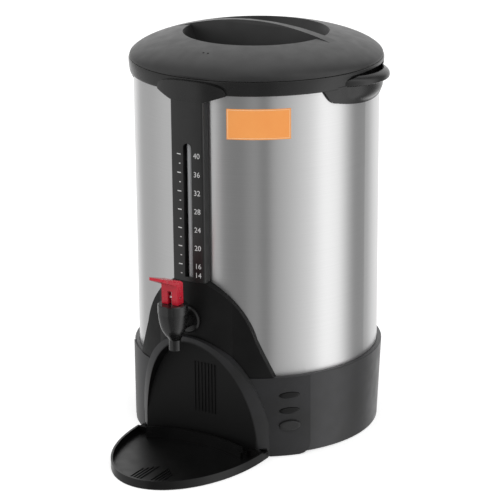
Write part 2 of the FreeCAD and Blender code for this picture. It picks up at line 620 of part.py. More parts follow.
# Sight tube with the elbow that feeds it from the tank, and the plug at its top
def make_sight_tube():
    at = ("slot_centre", "0 - tube_axis", "0")
    turned("sight_tube", [("tube_bore", "tube_bottom"), ("tube_radius", "tube_bottom"),
                          ("tube_radius", "tube_top"), ("tube_bore", "tube_top")], at=at)
    turned("sight_tube_cap", [
        ("0.8", "tube_top - 5"), ("tube_bore - seat_gap", "tube_top - 5"),
        ("tube_bore - seat_gap", "tube_top + seat_gap"), ("tube_radius", "tube_top + seat_gap"),
        ("tube_radius", "tube_top + 2"), ("0.8", "tube_top + 2")], at=at)
    centre_x = size("slot_centre")
    centre_y = -size("tube_axis")
    height = size("elbow_height")
    outer = size("elbow_radius")
    socket_base = size("tube_bottom") - 1
    back = -size("barrel_radius") - size("seal_thickness")
    post = cylinder(outer, height - outer, socket_base + 4, centre_x, centre_y)
    post = post.common(block(-FAR, FAR, -FAR, back, 0, FAR))
    post = post.common(block(-FAR, FAR, -size("gauge_front - gauge_wall") + 0.2, FAR, 0, FAR))
    tank_side = size("barrel_radius - barrel_wall - nipple_inside")
    nipple = Part.makeCylinder(size("nipple_radius"), -centre_y - tank_side, v(centre_x, -tank_side, height), FORWARD)
    elbow = post.fuse(nipple)
    bore = Part.makeCylinder(size("nipple_bore"), -centre_y - tank_side + 1, v(centre_x, -tank_side + 1, height), FORWARD)
    riser = cylinder(size("nipple_bore"), height, FAR, centre_x, centre_y)
    socket = cylinder(size("tube_radius + seat_gap"), socket_base + 1, FAR, centre_x, centre_y)
    carved("gauge_elbow", elbow.cut([bore, riser, socket]).removeSplitter())
    seal_start = v(centre_x, -size("barrel_radius") - size("seat_gap"), height)
    seal = Part.makeCylinder(outer - 0.2, size("seal_thickness - seat_gap - seat_gap"), seal_start, FORWARD)
    seal = seal.cut(Part.makeCylinder(size("nipple_radius + seat_gap"), 20, seal_start + v(0, 5, 0), FORWARD))
    seal = seal.cut(cylinder(size("barrel_radius + seat_gap"), 0, FAR))
    carved("elbow_seal", seal)
    nut = hexagon(size("elbow_nut_width"), size("elbow_nut_height"))
    nut.rotate(v(0, 0, 0), AXIS_X, -90)
    inner_wall = -math.sqrt(size("barrel_radius - barrel_wall") ** 2 - (0.6 * size("elbow_nut_width") + centre_x) ** 2)
    nut.translate(v(centre_x, inner_wall + size("seat_gap"), height))
    nut = nut.cut(Part.makeCylinder(size("nipple_radius + seat_gap"), 60, v(centre_x, -60, height), FORWARD))
    carved("elbow_nut", nut)


def handle(middle):
    # One side handle: a bowl under a stand-off grip rim, cut to its outline seen from the side
    skin = size("barrel_radius + fit_gap")
    low = size("handle_bottom")
    reach = size("handle_reach")
    top = size("handle_top")
    gap_floor = size("handle_gap_floor")
    gap_outer = size("handle_gap_outer")
    bowl = turned_shape([
        (skin, low), (skin + 2.6, low), (skin + 6, low + 2.6), (reach - 4.5, low + 9), (reach - 2, gap_floor - 2),
        (reach - 0.2, gap_floor + 3), (reach, top - 4), (reach - 1.2, top - 1.2), (reach - 3, top),
        (gap_outer + 0.8, top - 0.4), (gap_outer, top - 1.6), (gap_outer, gap_floor),
        (size("handle_wall_inner"), gap_floor), (size("handle_wall_inner"), size("collar_top") - 5),
        (skin, size("collar_top") - 5),
    ], 2 * size("handle_angle"), -size("handle_angle"))
    skirt = sector(size("handle_wall_inner"), skin, low, size("collar_bottom") + 1.5,
                   size("handle_skirt_angle"), 0)
    half = size("handle_half_length")
    collar_low = size("collar_bottom")
    under = Part.Arc(v(100, -half, collar_low + 0.5), v(100, -half + 8, low + 5.5),
                     v(100, -half + 20, low + 0.8)).toShape()
    keel = Part.Arc(v(100, -half + 20, low + 0.8), v(100, 0, low), v(100, half - 20, low + 0.8)).toShape()
    over = Part.Arc(v(100, half - 20, low + 0.8), v(100, half - 8, low + 5.5), v(100, half, collar_low + 0.5)).toShape()
    crest_end = size("collar_top") - 5.2
    brow = Part.Arc(v(100, half, crest_end), v(100, 0, top), v(100, -half, crest_end)).toShape()
    sides = [Part.makeLine(v(100, half, collar_low + 0.5), v(100, half, crest_end)),
             Part.makeLine(v(100, -half, crest_end), v(100, -half, collar_low + 0.5))]
    outline = Part.Face(Part.Wire([under, keel, over, sides[0], brow, sides[1]]))
    outline.translate(v(-60, 0, 0))
    bar = outline.extrude(v(120, 0, 0))
    plan = cylinder(size("handle_plan_radius"), 0, FAR, reach + 0.1 - size("handle_plan_radius"), 0)
    piece = bowl.common(plan).fuse(skirt).common(bar)
    piece.rotate(v(0, 0, 0), AXIS_Z, middle)
    return piece


# Top collar: the ring over the drum's rim, with both side handles and the hood over the gauge
def make_top_collar():
    skin = size("barrel_radius + fit_gap")
    low = size("collar_bottom")
    top = size("collar_top")
    outer = size("collar_radius")
    lip = size("collar_lip_radius")
    over_rim = size("barrel_top + seat_gap")
    edge = size("rim_edge")
    hoop = turned_shape([
        (skin, low), (size("collar_radius_low"), low), (outer - 0.5, low + 4), (outer, low + 9), (outer, top - edge),
        (outer - edge, top), (lip, top), (lip, over_rim), (skin, over_rim),
    ])
    recess = turned_shape([
        (size("handle_wall_inner"), size("handle_gap_floor")), (outer + 5, size("handle_gap_floor")),
        (outer + 5, top - 5), (size("handle_wall_inner"), top - 5),
    ], 2 * size("handle_angle"), -size("handle_angle"))
    other = recess.copy()
    other.rotate(v(0, 0, 0), AXIS_Z, 180)
    hoop = hoop.cut([recess, other])
    hoop = hoop.fuse([handle(0), handle(180), gauge_hood()])
    carved("top_collar", hoop.removeSplitter())


def gauge_hood():
    half = size("hood_half_width")
    shoulder = size("hood_shoulder")
    low = size("gauge_top + fit_gap")
    column = size("gauge_half_width")
    brow = Part.Arc(v(half, 0, shoulder), v(0, 0, size("hood_top")), v(-half, 0, shoulder)).toShape()
    points = [v(-half, 0, shoulder), v(-half - 1, 0, size("collar_bottom")), v(-column, 0, low), v(column, 0, low),
              v(half + 1, 0, size("collar_bottom")), v(half, 0, shoulder)]
    lines = [Part.makeLine(points[index], points[index + 1]) for index in range(len(points) - 1)]
    face = Part.Face(Part.Wire([brow] + lines))
    face.translate(v(0, -FAR / 2, 0))
    hood = face.extrude(v(0, FAR / 2 - 60, 0))
    hood = hood.common(crown(size("gauge_front"), size("gauge_crown"), low - 1, FAR))
    return hood.cut(cylinder(size("barrel_radius + fit_gap"), 0, FAR))


def dome_points(offset):
    # Points of the lid's dome from shoulder to crown, drawn in by an offset
    radius = size("lid_radius") - offset
    shoulder = size("lid_shoulder")
    rise = size("lid_crown - lid_shoulder") - offset
    steps = 14
    points = []
    for index in range(steps):
        turn = math.radians(90) * index / steps
        across = radius * math.cos(turn) ** size("dome_side_power")
        points.append(v(across, 0, shoulder + rise * math.sin(turn) ** size("dome_rise_power")))
    return points + [v(0, 0, shoulder + rise)]


def dome(offset, low):
    # A domed solid with a smooth crown
    points = dome_points(offset)
    curve = Part.BSplineCurve()
    curve.interpolate(points)
    crest = curve.toShape()
    start = points[0]
    finish = points[-1]
    lines = [
        Part.makeLine(finish, v(0, 0, low)),
        Part.makeLine(v(0, 0, low), v(start.x, 0, low)),
        Part.makeLine(v(start.x, 0, low), start),
    ]
    face = Part.Face(Part.Wire([crest] + lines))
    return face.revolve(v(0, 0, 0), AXIS_Z, FULL_TURN)


# Lid: a domed shell with two deep hand scoops and an arched grip between them
def make_lid():
    wall = size("lid_wall")
    rim_low = size("lid_rim_bottom")
    skirt_outer = size("collar_lip_radius - fit_gap")
    skirt_low = size("lid_skirt_bottom")
    body = dome(0, rim_low)
    body = body.fuse(ring(skirt_outer, skirt_outer - wall, skirt_low, rim_low + 2))
    under = dome(wall, rim_low - 1).common(cylinder(skirt_outer - wall, 0, FAR))
    scoop_floor = size("scoop_floor")
    top_radius = size("scoop_radius")
    floor_radius = size("scoop_floor_radius")
    tool_high = size("lid_crown") + 10
    slope = (top_radius - floor_radius) / (size("lid_crown") - scoop_floor)
    high_radius = floor_radius + slope * (tool_high - scoop_floor)
    pit = turned_shape([(0, scoop_floor), (floor_radius - 5, scoop_floor), (floor_radius, scoop_floor + 4),
                        (high_radius, tool_high), (0, tool_high)])
    casing = turned_shape([(0, scoop_floor - wall), (floor_radius - 4, scoop_floor - wall),
                           (floor_radius + wall, scoop_floor + 3), (high_radius + wall, tool_high), (0, tool_high)])
    body = body.cut(under.cut(casing))
    grip = grip_ridge()
    body = body.fuse(grip.common(casing.fuse(grip_crest_space())))
    body = body.cut(pit.cut(grip))
    for side in (-0.5, 0.5):
        hole = cylinder(size("vent_radius"), rim_low, tool_high, side * size("vent_pitch"), -size("vent_ring"))
        body = body.cut(hole)
    carved("lid", body.removeSplitter())


def grip_ridge():
    # The arched bar that runs along X across the lid
    half = size("grip_half_length")
    top = size("grip_top")
    low = size("scoop_floor") - 1
    end_height = size("lid_crown") - 8.6
    brow = Part.Arc(v(-half, 0, end_height), v(0, 0, top), v(half, 0, end_height)).toShape()
    lines = [Part.makeLine(v(half, 0, end_height), v(half, 0, low)), Part.makeLine(v(half, 0, low), v(-half, 0, low)),
             Part.makeLine(v(-half, 0, low), v(-half, 0, end_height))]
    face = Part.Face(Part.Wire([brow] + lines))
    foot = size("grip_foot_half")
    face.translate(v(0, -foot, 0))
    bar = face.extrude(v(0, 2 * foot, 0))
    crest = size("grip_half_thickness")
    section = wire_face([(-half - 1, -foot, low), (-half - 1, foot, low), (-half - 1, crest, top - 3),
                         (-half - 1, crest - 2, top + 1), (-half - 1, 2 - crest, top + 1), (-half - 1, -crest, top - 3)])
    return bar.common(section.extrude(v(2 * half + 2, 0, 0)))


def grip_crest_space():
    # Where the grip may stand above the dome
    return cylinder(size("grip_half_length"), size("lid_shoulder"), FAR)


# Percolator: the pump tube with its bell foot, the coffee basket and the basket's cover
def make_percolator():
    turned("pump_tube", [
        ("pump_radius - pump_wall", "pump_bottom"), ("pump_radius", "pump_bottom"),
        ("pump_radius", "basket_bottom - stop_height - seat_gap"),
        ("stop_radius", "basket_bottom - stop_height - seat_gap"), ("stop_radius", "basket_bottom - seat_gap"),
        ("pump_radius", "basket_bottom - seat_gap"), ("pump_radius", "pump_top"),
        ("pump_radius - pump_wall", "pump_top")])
    turned("pump_foot", [
        ("pump_radius + seat_gap", "bell_bottom + bell_height - 8"), ("pump_radius + seat_gap", "bell_bottom + bell_height"),
        ("pump_radius + sheet + seat_gap", "bell_bottom + bell_height"),
        ("pump_radius + sheet + seat_gap + 1", "bell_bottom + bell_height - 6"),
        ("foot_bell_radius - 3", "bell_bottom + 3.4"), ("foot_bell_radius", "bell_bottom"),
        ("foot_bell_radius - sheet - 0.4", "bell_bottom"), ("foot_bell_radius - 4", "bell_bottom + 2.4"),
        ("pump_radius + seat_gap + 0.6", "bell_bottom + bell_height - 8"),
    ])
    inner = size("sleeve_radius")
    radius = size("basket_radius")
    low = size("basket_bottom")
    high = low + size("basket_height")
    sheet = size("sheet")
    bore = size("pump_radius + running_gap")
    sleeve_top = high - 8
    basket = turned_shape([
        (bore, low), (radius - 3, low), (radius, low + 3), (radius, high - 1.2), (radius + 2, high - 1.2),
        (radius + 2, high), (radius - sheet, high), (radius - sheet, low + 3.4), (radius - 3.4, low + sheet),
        (inner, low + sheet), (inner, sleeve_top), (bore, sleeve_top),
    ])
    carved("coffee_basket", basket.cut(sieve_holes(low - 1, low + 2, radius - 6)))
    gap = size("fit_gap")
    lip = size("cover_lip")
    cover = turned_shape([
        (bore + 0.6, high + gap), (radius + 2, high + gap), (radius + 2, high + gap + sheet),
        (radius - sheet - 4, high + gap + sheet), (radius - sheet - 6, high + gap + lip),
        (radius - sheet - 8, high + gap + lip), (radius - sheet - 6, high + gap + sheet),
        (bore + 0.6, high + gap + sheet),
    ])
    carved("basket_cover", cover.cut(sieve_holes(high - 1, high + lip - 1, radius - 12)))


def sieve_holes(low, high, limit):
    holes = []
    pitch = size("hole_ring_pitch")
    for ring_index in range(int(size("hole_rings"))):
        radius = 14 + ring_index * pitch
        if radius > limit:
            continue
        hole = cylinder(size("hole_radius"), low, high, radius, 0)
        holes += copies(hole, int(size("holes_inner_ring")) * (ring_index + 1))
    return holes


# Tap body: an egg-shaped casting with its threaded shank through the shroud and the drum
def make_tap_body():
    axis = size("tap_axis")
    joint = size("tap_joint_height")
    spout_y = size("spout_axis")
    wide = size("tap_radius")
    spout = size("spout_radius")
    low = size("spout_bottom")
    stations = [
        (low + 9.2, spout, spout_y), (low + 11.5, spout + 1.2, spout_y + 0.3), (low + 14.5, 0.63 * wide, axis - 1.4),
        (low + 19.5, 0.8 * wide, axis - 0.6), (low + 26, 0.91 * wide, axis), (joint, 0.965 * wide, axis),
    ]
    sections = [Part.Wire(Part.makeCircle(radius, v(0, -y, height))) for height, radius, y in stations]
    egg = Part.makeLoft(sections, True)
    nozzle = cylinder(spout, low, low + 9.2, 0, -spout_y)
    height = size("shank_height")
    inner_end = size("barrel_radius - barrel_wall - shank_inside")
    shank = Part.makeCylinder(size("shank_radius"), axis - inner_end, v(0, -inner_end, height), FORWARD)
    body = egg.fuse([nozzle, shank])
    seat = size("seat_height")
    chamber = cylinder(size("chamber_radius"), seat + 4, joint + 1, 0, -axis)
    cup_room = cylinder(size("chamber_low_radius"), seat, seat + 5, 0, -axis)
    outlet = cylinder(size("spout_bore"), low - 1, seat + 1, 0, -spout_y)
    bore = Part.makeCylinder(size("shank_bore"), axis - inner_end + 1, v(0, -inner_end + 1, height), FORWARD)
    carved("tap_body", body.cut([chamber, cup_room, outlet, bore]).removeSplitter())


# Tap fittings along the shank: flange, washers and nut
def make_tap_fittings():
    outward = (AXIS_X, 90)
    inward = (AXIS_X, -90)
    bore = "shank_radius + seat_gap"
    front = ("0", "0 - gauge_front - seat_gap", "shank_height")
    turned("tap_flange", [(bore, "0"), ("flange_radius", "0"), ("flange_radius", "flange_thickness - 1.2"),
                          ("flange_radius - 1.2", "flange_thickness"), (bore, "flange_thickness")], outward, front)
    wall = size("barrel_radius - barrel_wall")
    reach = size("washer_radius")
    seat = math.sqrt(wall * wall - reach * reach) - size("seat_gap")
    inner = ("0", "%.4f" % -seat, "shank_height")
    height = size("shank_height")
    gap = size("seat_gap")
    thick = size("washer_thickness")
    hole = Part.makeCylinder(size("shank_radius") + gap, FAR, v(0, 0, height), FORWARD)
    washer = Part.makeCylinder(reach, thick + wall - seat, v(0, -(seat - thick), height), FORWARD)
    washer = washer.common(cylinder(wall - gap, 0, FAR)).cut(hole)
    carved("tap_inner_washer", washer)
    nut = hexagon(size("tap_nut_width"), size("tap_nut_height"))
    nut.rotate(v(0, 0, 0), AXIS_X, -90)
    nut.translate(v(0, -(seat - thick) + gap, height))
    carved("tap_nut", nut.cut(hole))
    seal = Part.makeCylinder(reach, size("seal_front") - gap - 80, v(0, -80, height), FORWARD)
    carved("tap_outer_washer", seal.cut([cylinder(size("barrel_radius") + gap, 0, FAR), hole]))


# Tap bonnet, valve stem, seat cup and spring on the tap's upright axis
def make_tap_valve():
    at = ("0", "0 - tap_axis", "0")
    turned("tap_bonnet", [
        ("stem_radius + running_gap", "tap_joint_height + 2"), ("chamber_radius - fit_gap", "tap_joint_height + 2"),
        ("chamber_radius - fit_gap", "tap_joint_height - 4"), ("chamber_radius - seat_gap", "tap_joint_height - 4"),
        ("chamber_radius - seat_gap", "tap_joint_height + seat_gap"), ("tap_radius", "tap_joint_height + seat_gap"),
        ("tap_radius", "tap_rim_height - rim_edge"), ("tap_radius - rim_edge", "tap_rim_height"),
        ("stem_radius + running_gap", "tap_rim_height")], at=at)
    turned("seat_cup", [
        ("0", "seat_height + running_gap"), ("cup_radius - 1", "seat_height + running_gap"),
        ("cup_radius", "seat_height + running_gap + 1"), ("cup_radius", "seat_height + cup_height"),
        ("stem_radius + seat_gap", "seat_height + cup_height"),
        ("stem_radius + seat_gap", "seat_height + cup_height - 2.4"), ("0", "seat_height + cup_height - 2.4")], at=at)
    axis = -size("tap_axis")
    low = size("seat_height + cup_height") - 2.3
    head = size("stem_head_height")
    stem = cylinder(size("stem_radius"), low, head, 0, axis)
    disc = cylinder(5, size("seat_height + cup_height + seat_gap"), size("seat_height + cup_height") + 1, 0, axis)
    eye_half = size("lever_slot_half - fit_gap")
    eye = Part.makeCylinder(2.4, 2 * eye_half, v(-eye_half, axis, size("pin_height")), AXIS_X)
    stem = stem.fuse([disc, eye])
    hole = Part.makeCylinder(size("pin_radius + seat_gap"), 30, v(-15, axis, size("pin_height")), AXIS_X)
    carved("valve_stem", stem.cut(hole).removeSplitter())
    base = size("seat_height + cup_height") + 1.1 + 0.5 * size("spring_wire")
    top = size("tap_joint_height") + 2 - 0.5 * size("spring_wire") - size("seat_gap")
    spring = coil(size("spring_radius"), size("spring_wire"), top - base, size("spring_turns"), base)
    spring.translate(v(0, axis, 0))
    carved("tap_spring", spring)


# Red tap lever: two cam feet on the bonnet, pinned to the stem, under a raised finger paddle
def make_tap_lever():
    half = size("lever_half_width")
    axis = size("tap_axis")
    foot = size("foot_half_length")
    low = size("tap_rim_height + fit_gap")
    root = size("paddle_root")
    tip_y = size("paddle_reach")
    tip_top = root + size("paddle_rise")
    back = size("lever_back")
    thick = size("paddle_thickness")
    tip = size("paddle_tip_thickness")
    side = [
        (-half, -(axis - foot), low), (-half, -(axis + foot), low), (-half, -(axis + foot) - 0.2, root - 1.2),
        (-half, -(axis + foot) - 2.5, root - 0.2), (-half, -tip_y + 0.6, tip_top - tip), (-half, -tip_y, tip_top - tip + 0.7),
        (-half, -tip_y + 0.9, tip_top), (-half, -back - 4, root + 0.5 * thick + 0.7), (-half, -back, root),
        (-half, -back, root - thick),
    ]
    lever = wire_face(side).extrude(v(2 * half, 0, 0))
    slot = size("lever_slot_half")
    lever = lever.cut(block(-slot, slot, -axis - foot - 3, -back + 3, low - 1, size("stem_head_height") + 1.2))
    hole = Part.makeCylinder(size("pin_radius + seat_gap"), 30, v(-15, -axis, size("pin_height")), AXIS_X)
    lever = lever.cut(hole)
    corner = size("paddle_corner")
    plan = block(-half, half, -tip_y + corner, 0, 0, FAR)
    plan = plan.fuse(block(corner - half, half - corner, -tip_y, 0, 0, FAR))
    plan = plan.fuse([cylinder(corner, 0, FAR, sign * (half - corner), corner - tip_y) for sign in (-1, 1)])
    carved("tap_lever", lever.common(plan).removeSplitter())
    length = 2 * half - 1.2
    pin = Part.makeCylinder(size("pin_radius"), length, v(-0.5 * length, -axis, size("pin_height")), AXIS_X)
    carved("lever_pin", pin)


def tray_face(inset, z):
    # The tray's outline seen from above, drawn in by an inset
    half = size("tray_half_width") - inset
    hinge = -size("tray_hinge") - inset
    length = size("tray_length") - 2 * inset
    ellipse_face = half_ellipse(half, length, 0)
    ellipse_face.rotate(v(0, 0, 0), AXIS_X, 90)
    ellipse_face.translate(v(0, hinge, z))
    side = size("tray_back_half") - 0.6 * inset
    back_side = -size("tray_back_side") - inset
    back_mid = -size("tray_back_mid") - inset
    cut_arc = Part.Arc(v(-side, back_side, z), v(0, back_mid, z), v(side, back_side, z)).toShape()
    bulge = Part.Face(Part.Wire([cut_arc, Part.makeLine(v(side, back_side, z), v(-side, back_side, z))]))
    return ellipse_face, bulge


def tray_body(inset, low, high):
    front, bulge = tray_face(inset, low)
    rise = v(0, 0, high - low)
    solid = front.extrude(rise)
    side = size("tray_back_half") - 0.6 * inset
    step = block(-side, side, -size("tray_back_side") - inset, -size("tray_hinge") + 30, low - 1, high + 1)
    return solid.cut(step).fuse(bulge.extrude(rise))


# Drip tray: stands on the table, hooked into the notches at the niche's corners
def make_drip_tray():
    low = size("tray_underside")
    floor = size("tray_floor")
    rim = size("tray_rim")
    wall = size("tray_wall")
    tray = tray_body(0, low, rim)
    tray = tray.cut(tray_body(wall, floor, rim + 5))
    side = size("tray_back_half")
    curb = block(-side, side, -size("tray_back_side"), -size("tray_hinge") + 30, low - 1, size("tray_back_rim") + 9)
    bulge = tray_face(0, low)[1].extrude(v(0, 0, size("tray_back_rim") - low))
    inner = tray_face(wall, low)[1]
    inner = inner.extrude(v(0, 0, FAR)).fuse(block(-side + 4, side - 4, -size("tray_back_side") - 20,
                                                   -size("tray_back_side") - wall + 0.5, low, FAR))
    tray = tray.fuse(bulge.common(curb).cut(inner))
    ribs = []
    tip = -size("tray_hinge") - size("tray_length")
    for cluster in (-1, 1):
        for index in range(int(size("tray_ribs"))):
            x = cluster * (5 + index * size("tray_rib_pitch"))
            width = size("tray_rib_width")
            ribs.append(block(x - 0.5 * width, x + 0.5 * width, tip + 9, tip + 42 - 3 * index, floor - 0.2,
                              floor + size("tray_rib_height")))
    hooks = []
    reach = size("hook_width")
    outer = size("tray_half_width")
    back = -size("tray_hinge") + size("notch_depth") - 6 - size("fit_gap")
    for sign in (-1, 1):
        edges = sorted((sign * outer, sign * (outer - reach)))
        hooks.append(block(edges[0], edges[1], -size("tray_hinge") - 3, back, low, low + size("hook_height")))
    carved("drip_tray", tray.fuse(ribs + hooks).removeSplitter())


# Controls: two lamp lenses, lamp holders, the push button and its sealed spring switch
def make_controls():
    front = size("apron_radius")
    back = front - size("apron_wall")
    gap = size("seat_gap")
    holders = []
    for node, height in (("lamp_lens_upper", size("lamp_upper")), ("lamp_lens_lower", size("lamp_lower"))):
        proud = size("apron_wall") + size("lens_proud") + 0.5
        lens = oval(size("lamp_half_width"), size("lamp_half_height"), proud)
        rim = oval(size("lamp_half_width") + 1.2, size("lamp_half_height") + 1.2, 1)
        rim.translate(v(0, 0, -1))
        carved(node, on_panel(lens.fuse(rim).removeSplitter(), back - 0.5, height))
        length = size("lamp_body_length")
        bulb = Part.makeCylinder(size("lamp_body_radius"), length)
        bulb.translate(v(0, 0, -length))
        holders.append(on_panel(bulb, back - 1.5 - gap, height))
    grouped("lamp_holders", holders)
    height = size("button_height")
    flange = size("button_flange")
    travel_room = size("button_travel") + flange
    inset = size("button_inset")
    cap = oval(size("button_half_width"), size("button_half_height"), size("button_proud + apron_wall") + inset)
    seat = oval(size("button_half_width") + 1.2, size("button_half_height") + 1.2, flange)
    seat.translate(v(0, 0, -flange))
    guide = Part.makeCylinder(1.5, size("switch_gap") + 3)
    guide.translate(v(0, 0, -flange - size("switch_gap") - 2.5))
    carved("power_button", on_panel(cap.fuse([seat, guide]).removeSplitter(), back - inset, height))
    face = back - inset - flange - size("switch_gap")
    depth = size("switch_depth")
    half = size("switch_half_width")
    tall = size("switch_half_height")
    body = block(-half, half, -tall, tall, -depth, 0)
    arms = []
    for edge in (-tall - 2.8, tall):
        arms.append(block(-half, half, edge, edge + 2.8, -6, back - 0.9 - face))
    body = body.fuse(arms).cut(Part.makeCylinder(1.5 + size("running_gap"), travel_room + 4, v(0, 0, -travel_room - 4 + 0.01)))
    carved("switch_body", on_panel(body.removeSplitter(), face, height))


# Cord gland: the bush in the rear wall where the supply cord enters
def make_cord_gland():
    wall = ring_inside(size("gland_height"))
    outer = ring_inside(size("gland_height + gland_flange")) + size("moulding_wall") + size("seat_gap")
    flange = size("gland_flange")
    gland = turned_shape([
        (size("gland_bore"), wall - 3), (size("gland_radius") + 1.6, wall - 3), (size("gland_radius") + 1.6, wall - 0.4),
        (size("gland_radius"), wall - 0.4), (size("gland_radius"), outer), (flange, outer),
        (flange - 1, outer + size("gland_proud")), (size("gland_bore"), outer + size("gland_proud")),
    ])
    gland.rotate(v(0, 0, 0), AXIS_X, -90)
    gland.translate(v(0, 0, size("gland_height")))
    carved("cord_gland", gland)


def ring_inside(height):
    # Inner radius of the leaning base ring at a height
    share = (height - size("base_bottom")) / (size("base_lip_bottom") - size("base_bottom"))
    outside = size("base_radius_low") + share * (size("base_radius_high") - size("base_radius_low"))
    return outside - size("moulding_wall")


def screw_places(reach, grow=0.0, head=False):
    # The four radial screws, two each side, that hold the front panel to the base ring
    angle = 0.5 * (size("apron_angle") + size("apron_window")) + 0.2
    placed = []
    for side in (-1, 1):
        for height in (size("panel_screw_low"), size("panel_screw_high")):
            start = ring_inside(height) - 0.3
            shank = Part.makeCylinder(size("panel_screw_radius") + grow, reach - start)
            if head:
                knob = Part.makeCylinder(size("panel_screw_head"), 1.4)
                knob.translate(v(0, 0, -1.4))
                shank = shank.fuse(knob)
            placed.append(outwards(shank, start, height, side * angle))
    return placed


# Screws that hold the front panel to the base ring from inside
def make_panel_screws():
    grouped("panel_screws", screw_places(size("apron_radius") - size("apron_wall") + 1.8, -size("seat_gap"), True))


make_barrel()
make_tank_floor()
make_heater()
make_base_ring()
make_front_panel()
make_bottom_plate()
make_feet_and_screws()
make_front_shroud()
make_gauge_column()
make_sight_tube()
make_top_collar()
make_lid()
make_percolator()
make_tap_body()
make_tap_fittings()
make_tap_valve()
make_tap_lever()
make_drip_tray()
make_controls()
make_cord_gland()
make_panel_screws()
doc.recompute()

# Every object has to have worked, and every sub-part has to be a valid solid, before anything is written
for thing in doc.Objects:
    if "Invalid" in thing.State or "Error" in thing.State:
        raise RuntimeError("failed: " + thing.Label)
for thing in subparts:
    shape = thing.Shape
    if shape.isNull() or not shape.isValid() or not shape.Solids:
        raise RuntimeError("bad shape: " + thing.Label)

os.makedirs("parts", exist_ok=True)
for thing in subparts:
    thing.Shape.exportStep(os.path.join("parts", thing.Label + ".step"))
    print(thing.Label, len(thing.Shape.Solids), round(thing.Shape.Volume))
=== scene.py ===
import math

import bmesh
import bpy
from mathutils import Matrix, Vector


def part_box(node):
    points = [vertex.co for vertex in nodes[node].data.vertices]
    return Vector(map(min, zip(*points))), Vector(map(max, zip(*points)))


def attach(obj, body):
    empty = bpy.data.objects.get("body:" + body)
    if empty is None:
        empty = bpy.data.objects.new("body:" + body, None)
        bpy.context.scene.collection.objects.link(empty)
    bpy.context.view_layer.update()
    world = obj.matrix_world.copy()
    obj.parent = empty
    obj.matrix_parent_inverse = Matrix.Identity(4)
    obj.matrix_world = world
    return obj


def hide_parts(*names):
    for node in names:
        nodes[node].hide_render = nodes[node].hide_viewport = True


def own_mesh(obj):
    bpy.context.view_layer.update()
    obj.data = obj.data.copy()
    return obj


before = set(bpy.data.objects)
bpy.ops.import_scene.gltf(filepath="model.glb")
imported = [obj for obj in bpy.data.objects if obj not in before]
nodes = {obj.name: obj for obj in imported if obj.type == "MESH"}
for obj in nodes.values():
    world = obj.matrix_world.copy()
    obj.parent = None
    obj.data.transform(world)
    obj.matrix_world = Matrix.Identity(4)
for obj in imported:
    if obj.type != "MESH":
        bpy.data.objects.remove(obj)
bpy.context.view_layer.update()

# Lengths are in metres and angles in degrees. The drum's axis is Z and the front faces -Y.
MM = 0.001
DRUM_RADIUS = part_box("barrel_shell")[1][0]

# How far round from the front, towards +X, the photograph was taken
FRONT_AZIMUTH = 30.5

# Angles all the way round a ring
FULL_TURN = range(0, 360, 2)


def around(radius, angle, height):
    # A point at an angle from the front, positive towards +X
    turn = math.radians(angle)
    return Vector((radius * math.sin(turn), -radius * math.cos(turn), height))


def steps(start, finish, count):
    # Evenly spaced values from start to finish, both included
    return [start + (finish - start) * index / count for index in range(count + 1)]


# The cup niche and the arched frame round it: half width, height of the foot, rise from there
NICHE_HALF, NICHE_FOOT, NICHE_RISE = 57 * MM, 3 * MM, 101 * MM
ARCH_HALF, ARCH_RISE = 67 * MM, 106 * MM

# Where the niche's painted shade begins to give way and where it ends, as shares of the niche's size
NICHE_SHADE_EDGE = (1.003, 1.02)

# Sockets of a colour mix, whose names are shared with other kinds of mix
MIX_SHARE, MIX_FIRST, MIX_SECOND, MIX_RESULT = 0, 6, 7, 2

# Patterns of the plastics: repeats in a metre, ranges of a noise, strength and depth of the grain
MOTTLE_SCALE, GLOSS_SCALE, GRAIN_SCALE = 35, 90, 2600
MOTTLE_RANGE, NOISE_RANGE = (0.3, 0.75), (0.3, 0.7)
GRAIN_STRENGTH, GRAIN_DEPTH = 0.12, 0.00006

# Patterns of the brushed metals: long strokes, with wide clouds mixed in
STROKE_SCALE, STROKE_STRETCH = 420, (0.03, 0.03, 6.0)
CLOUD_SCALE, CLOUD_STRETCH, CLOUD_SHARE = 14, (1, 1, 0.15), 0.3
STROKE_STRENGTH, STROKE_DEPTH = 0.06, 0.00004

# Pattern of the clear tube: faint lines along it from drawing
DRAWN_SCALE, DRAWN_STRETCH = 300, (1, 1, 0.02)


# Materials
def grey(level):
    return (level, level, level, 1.0)


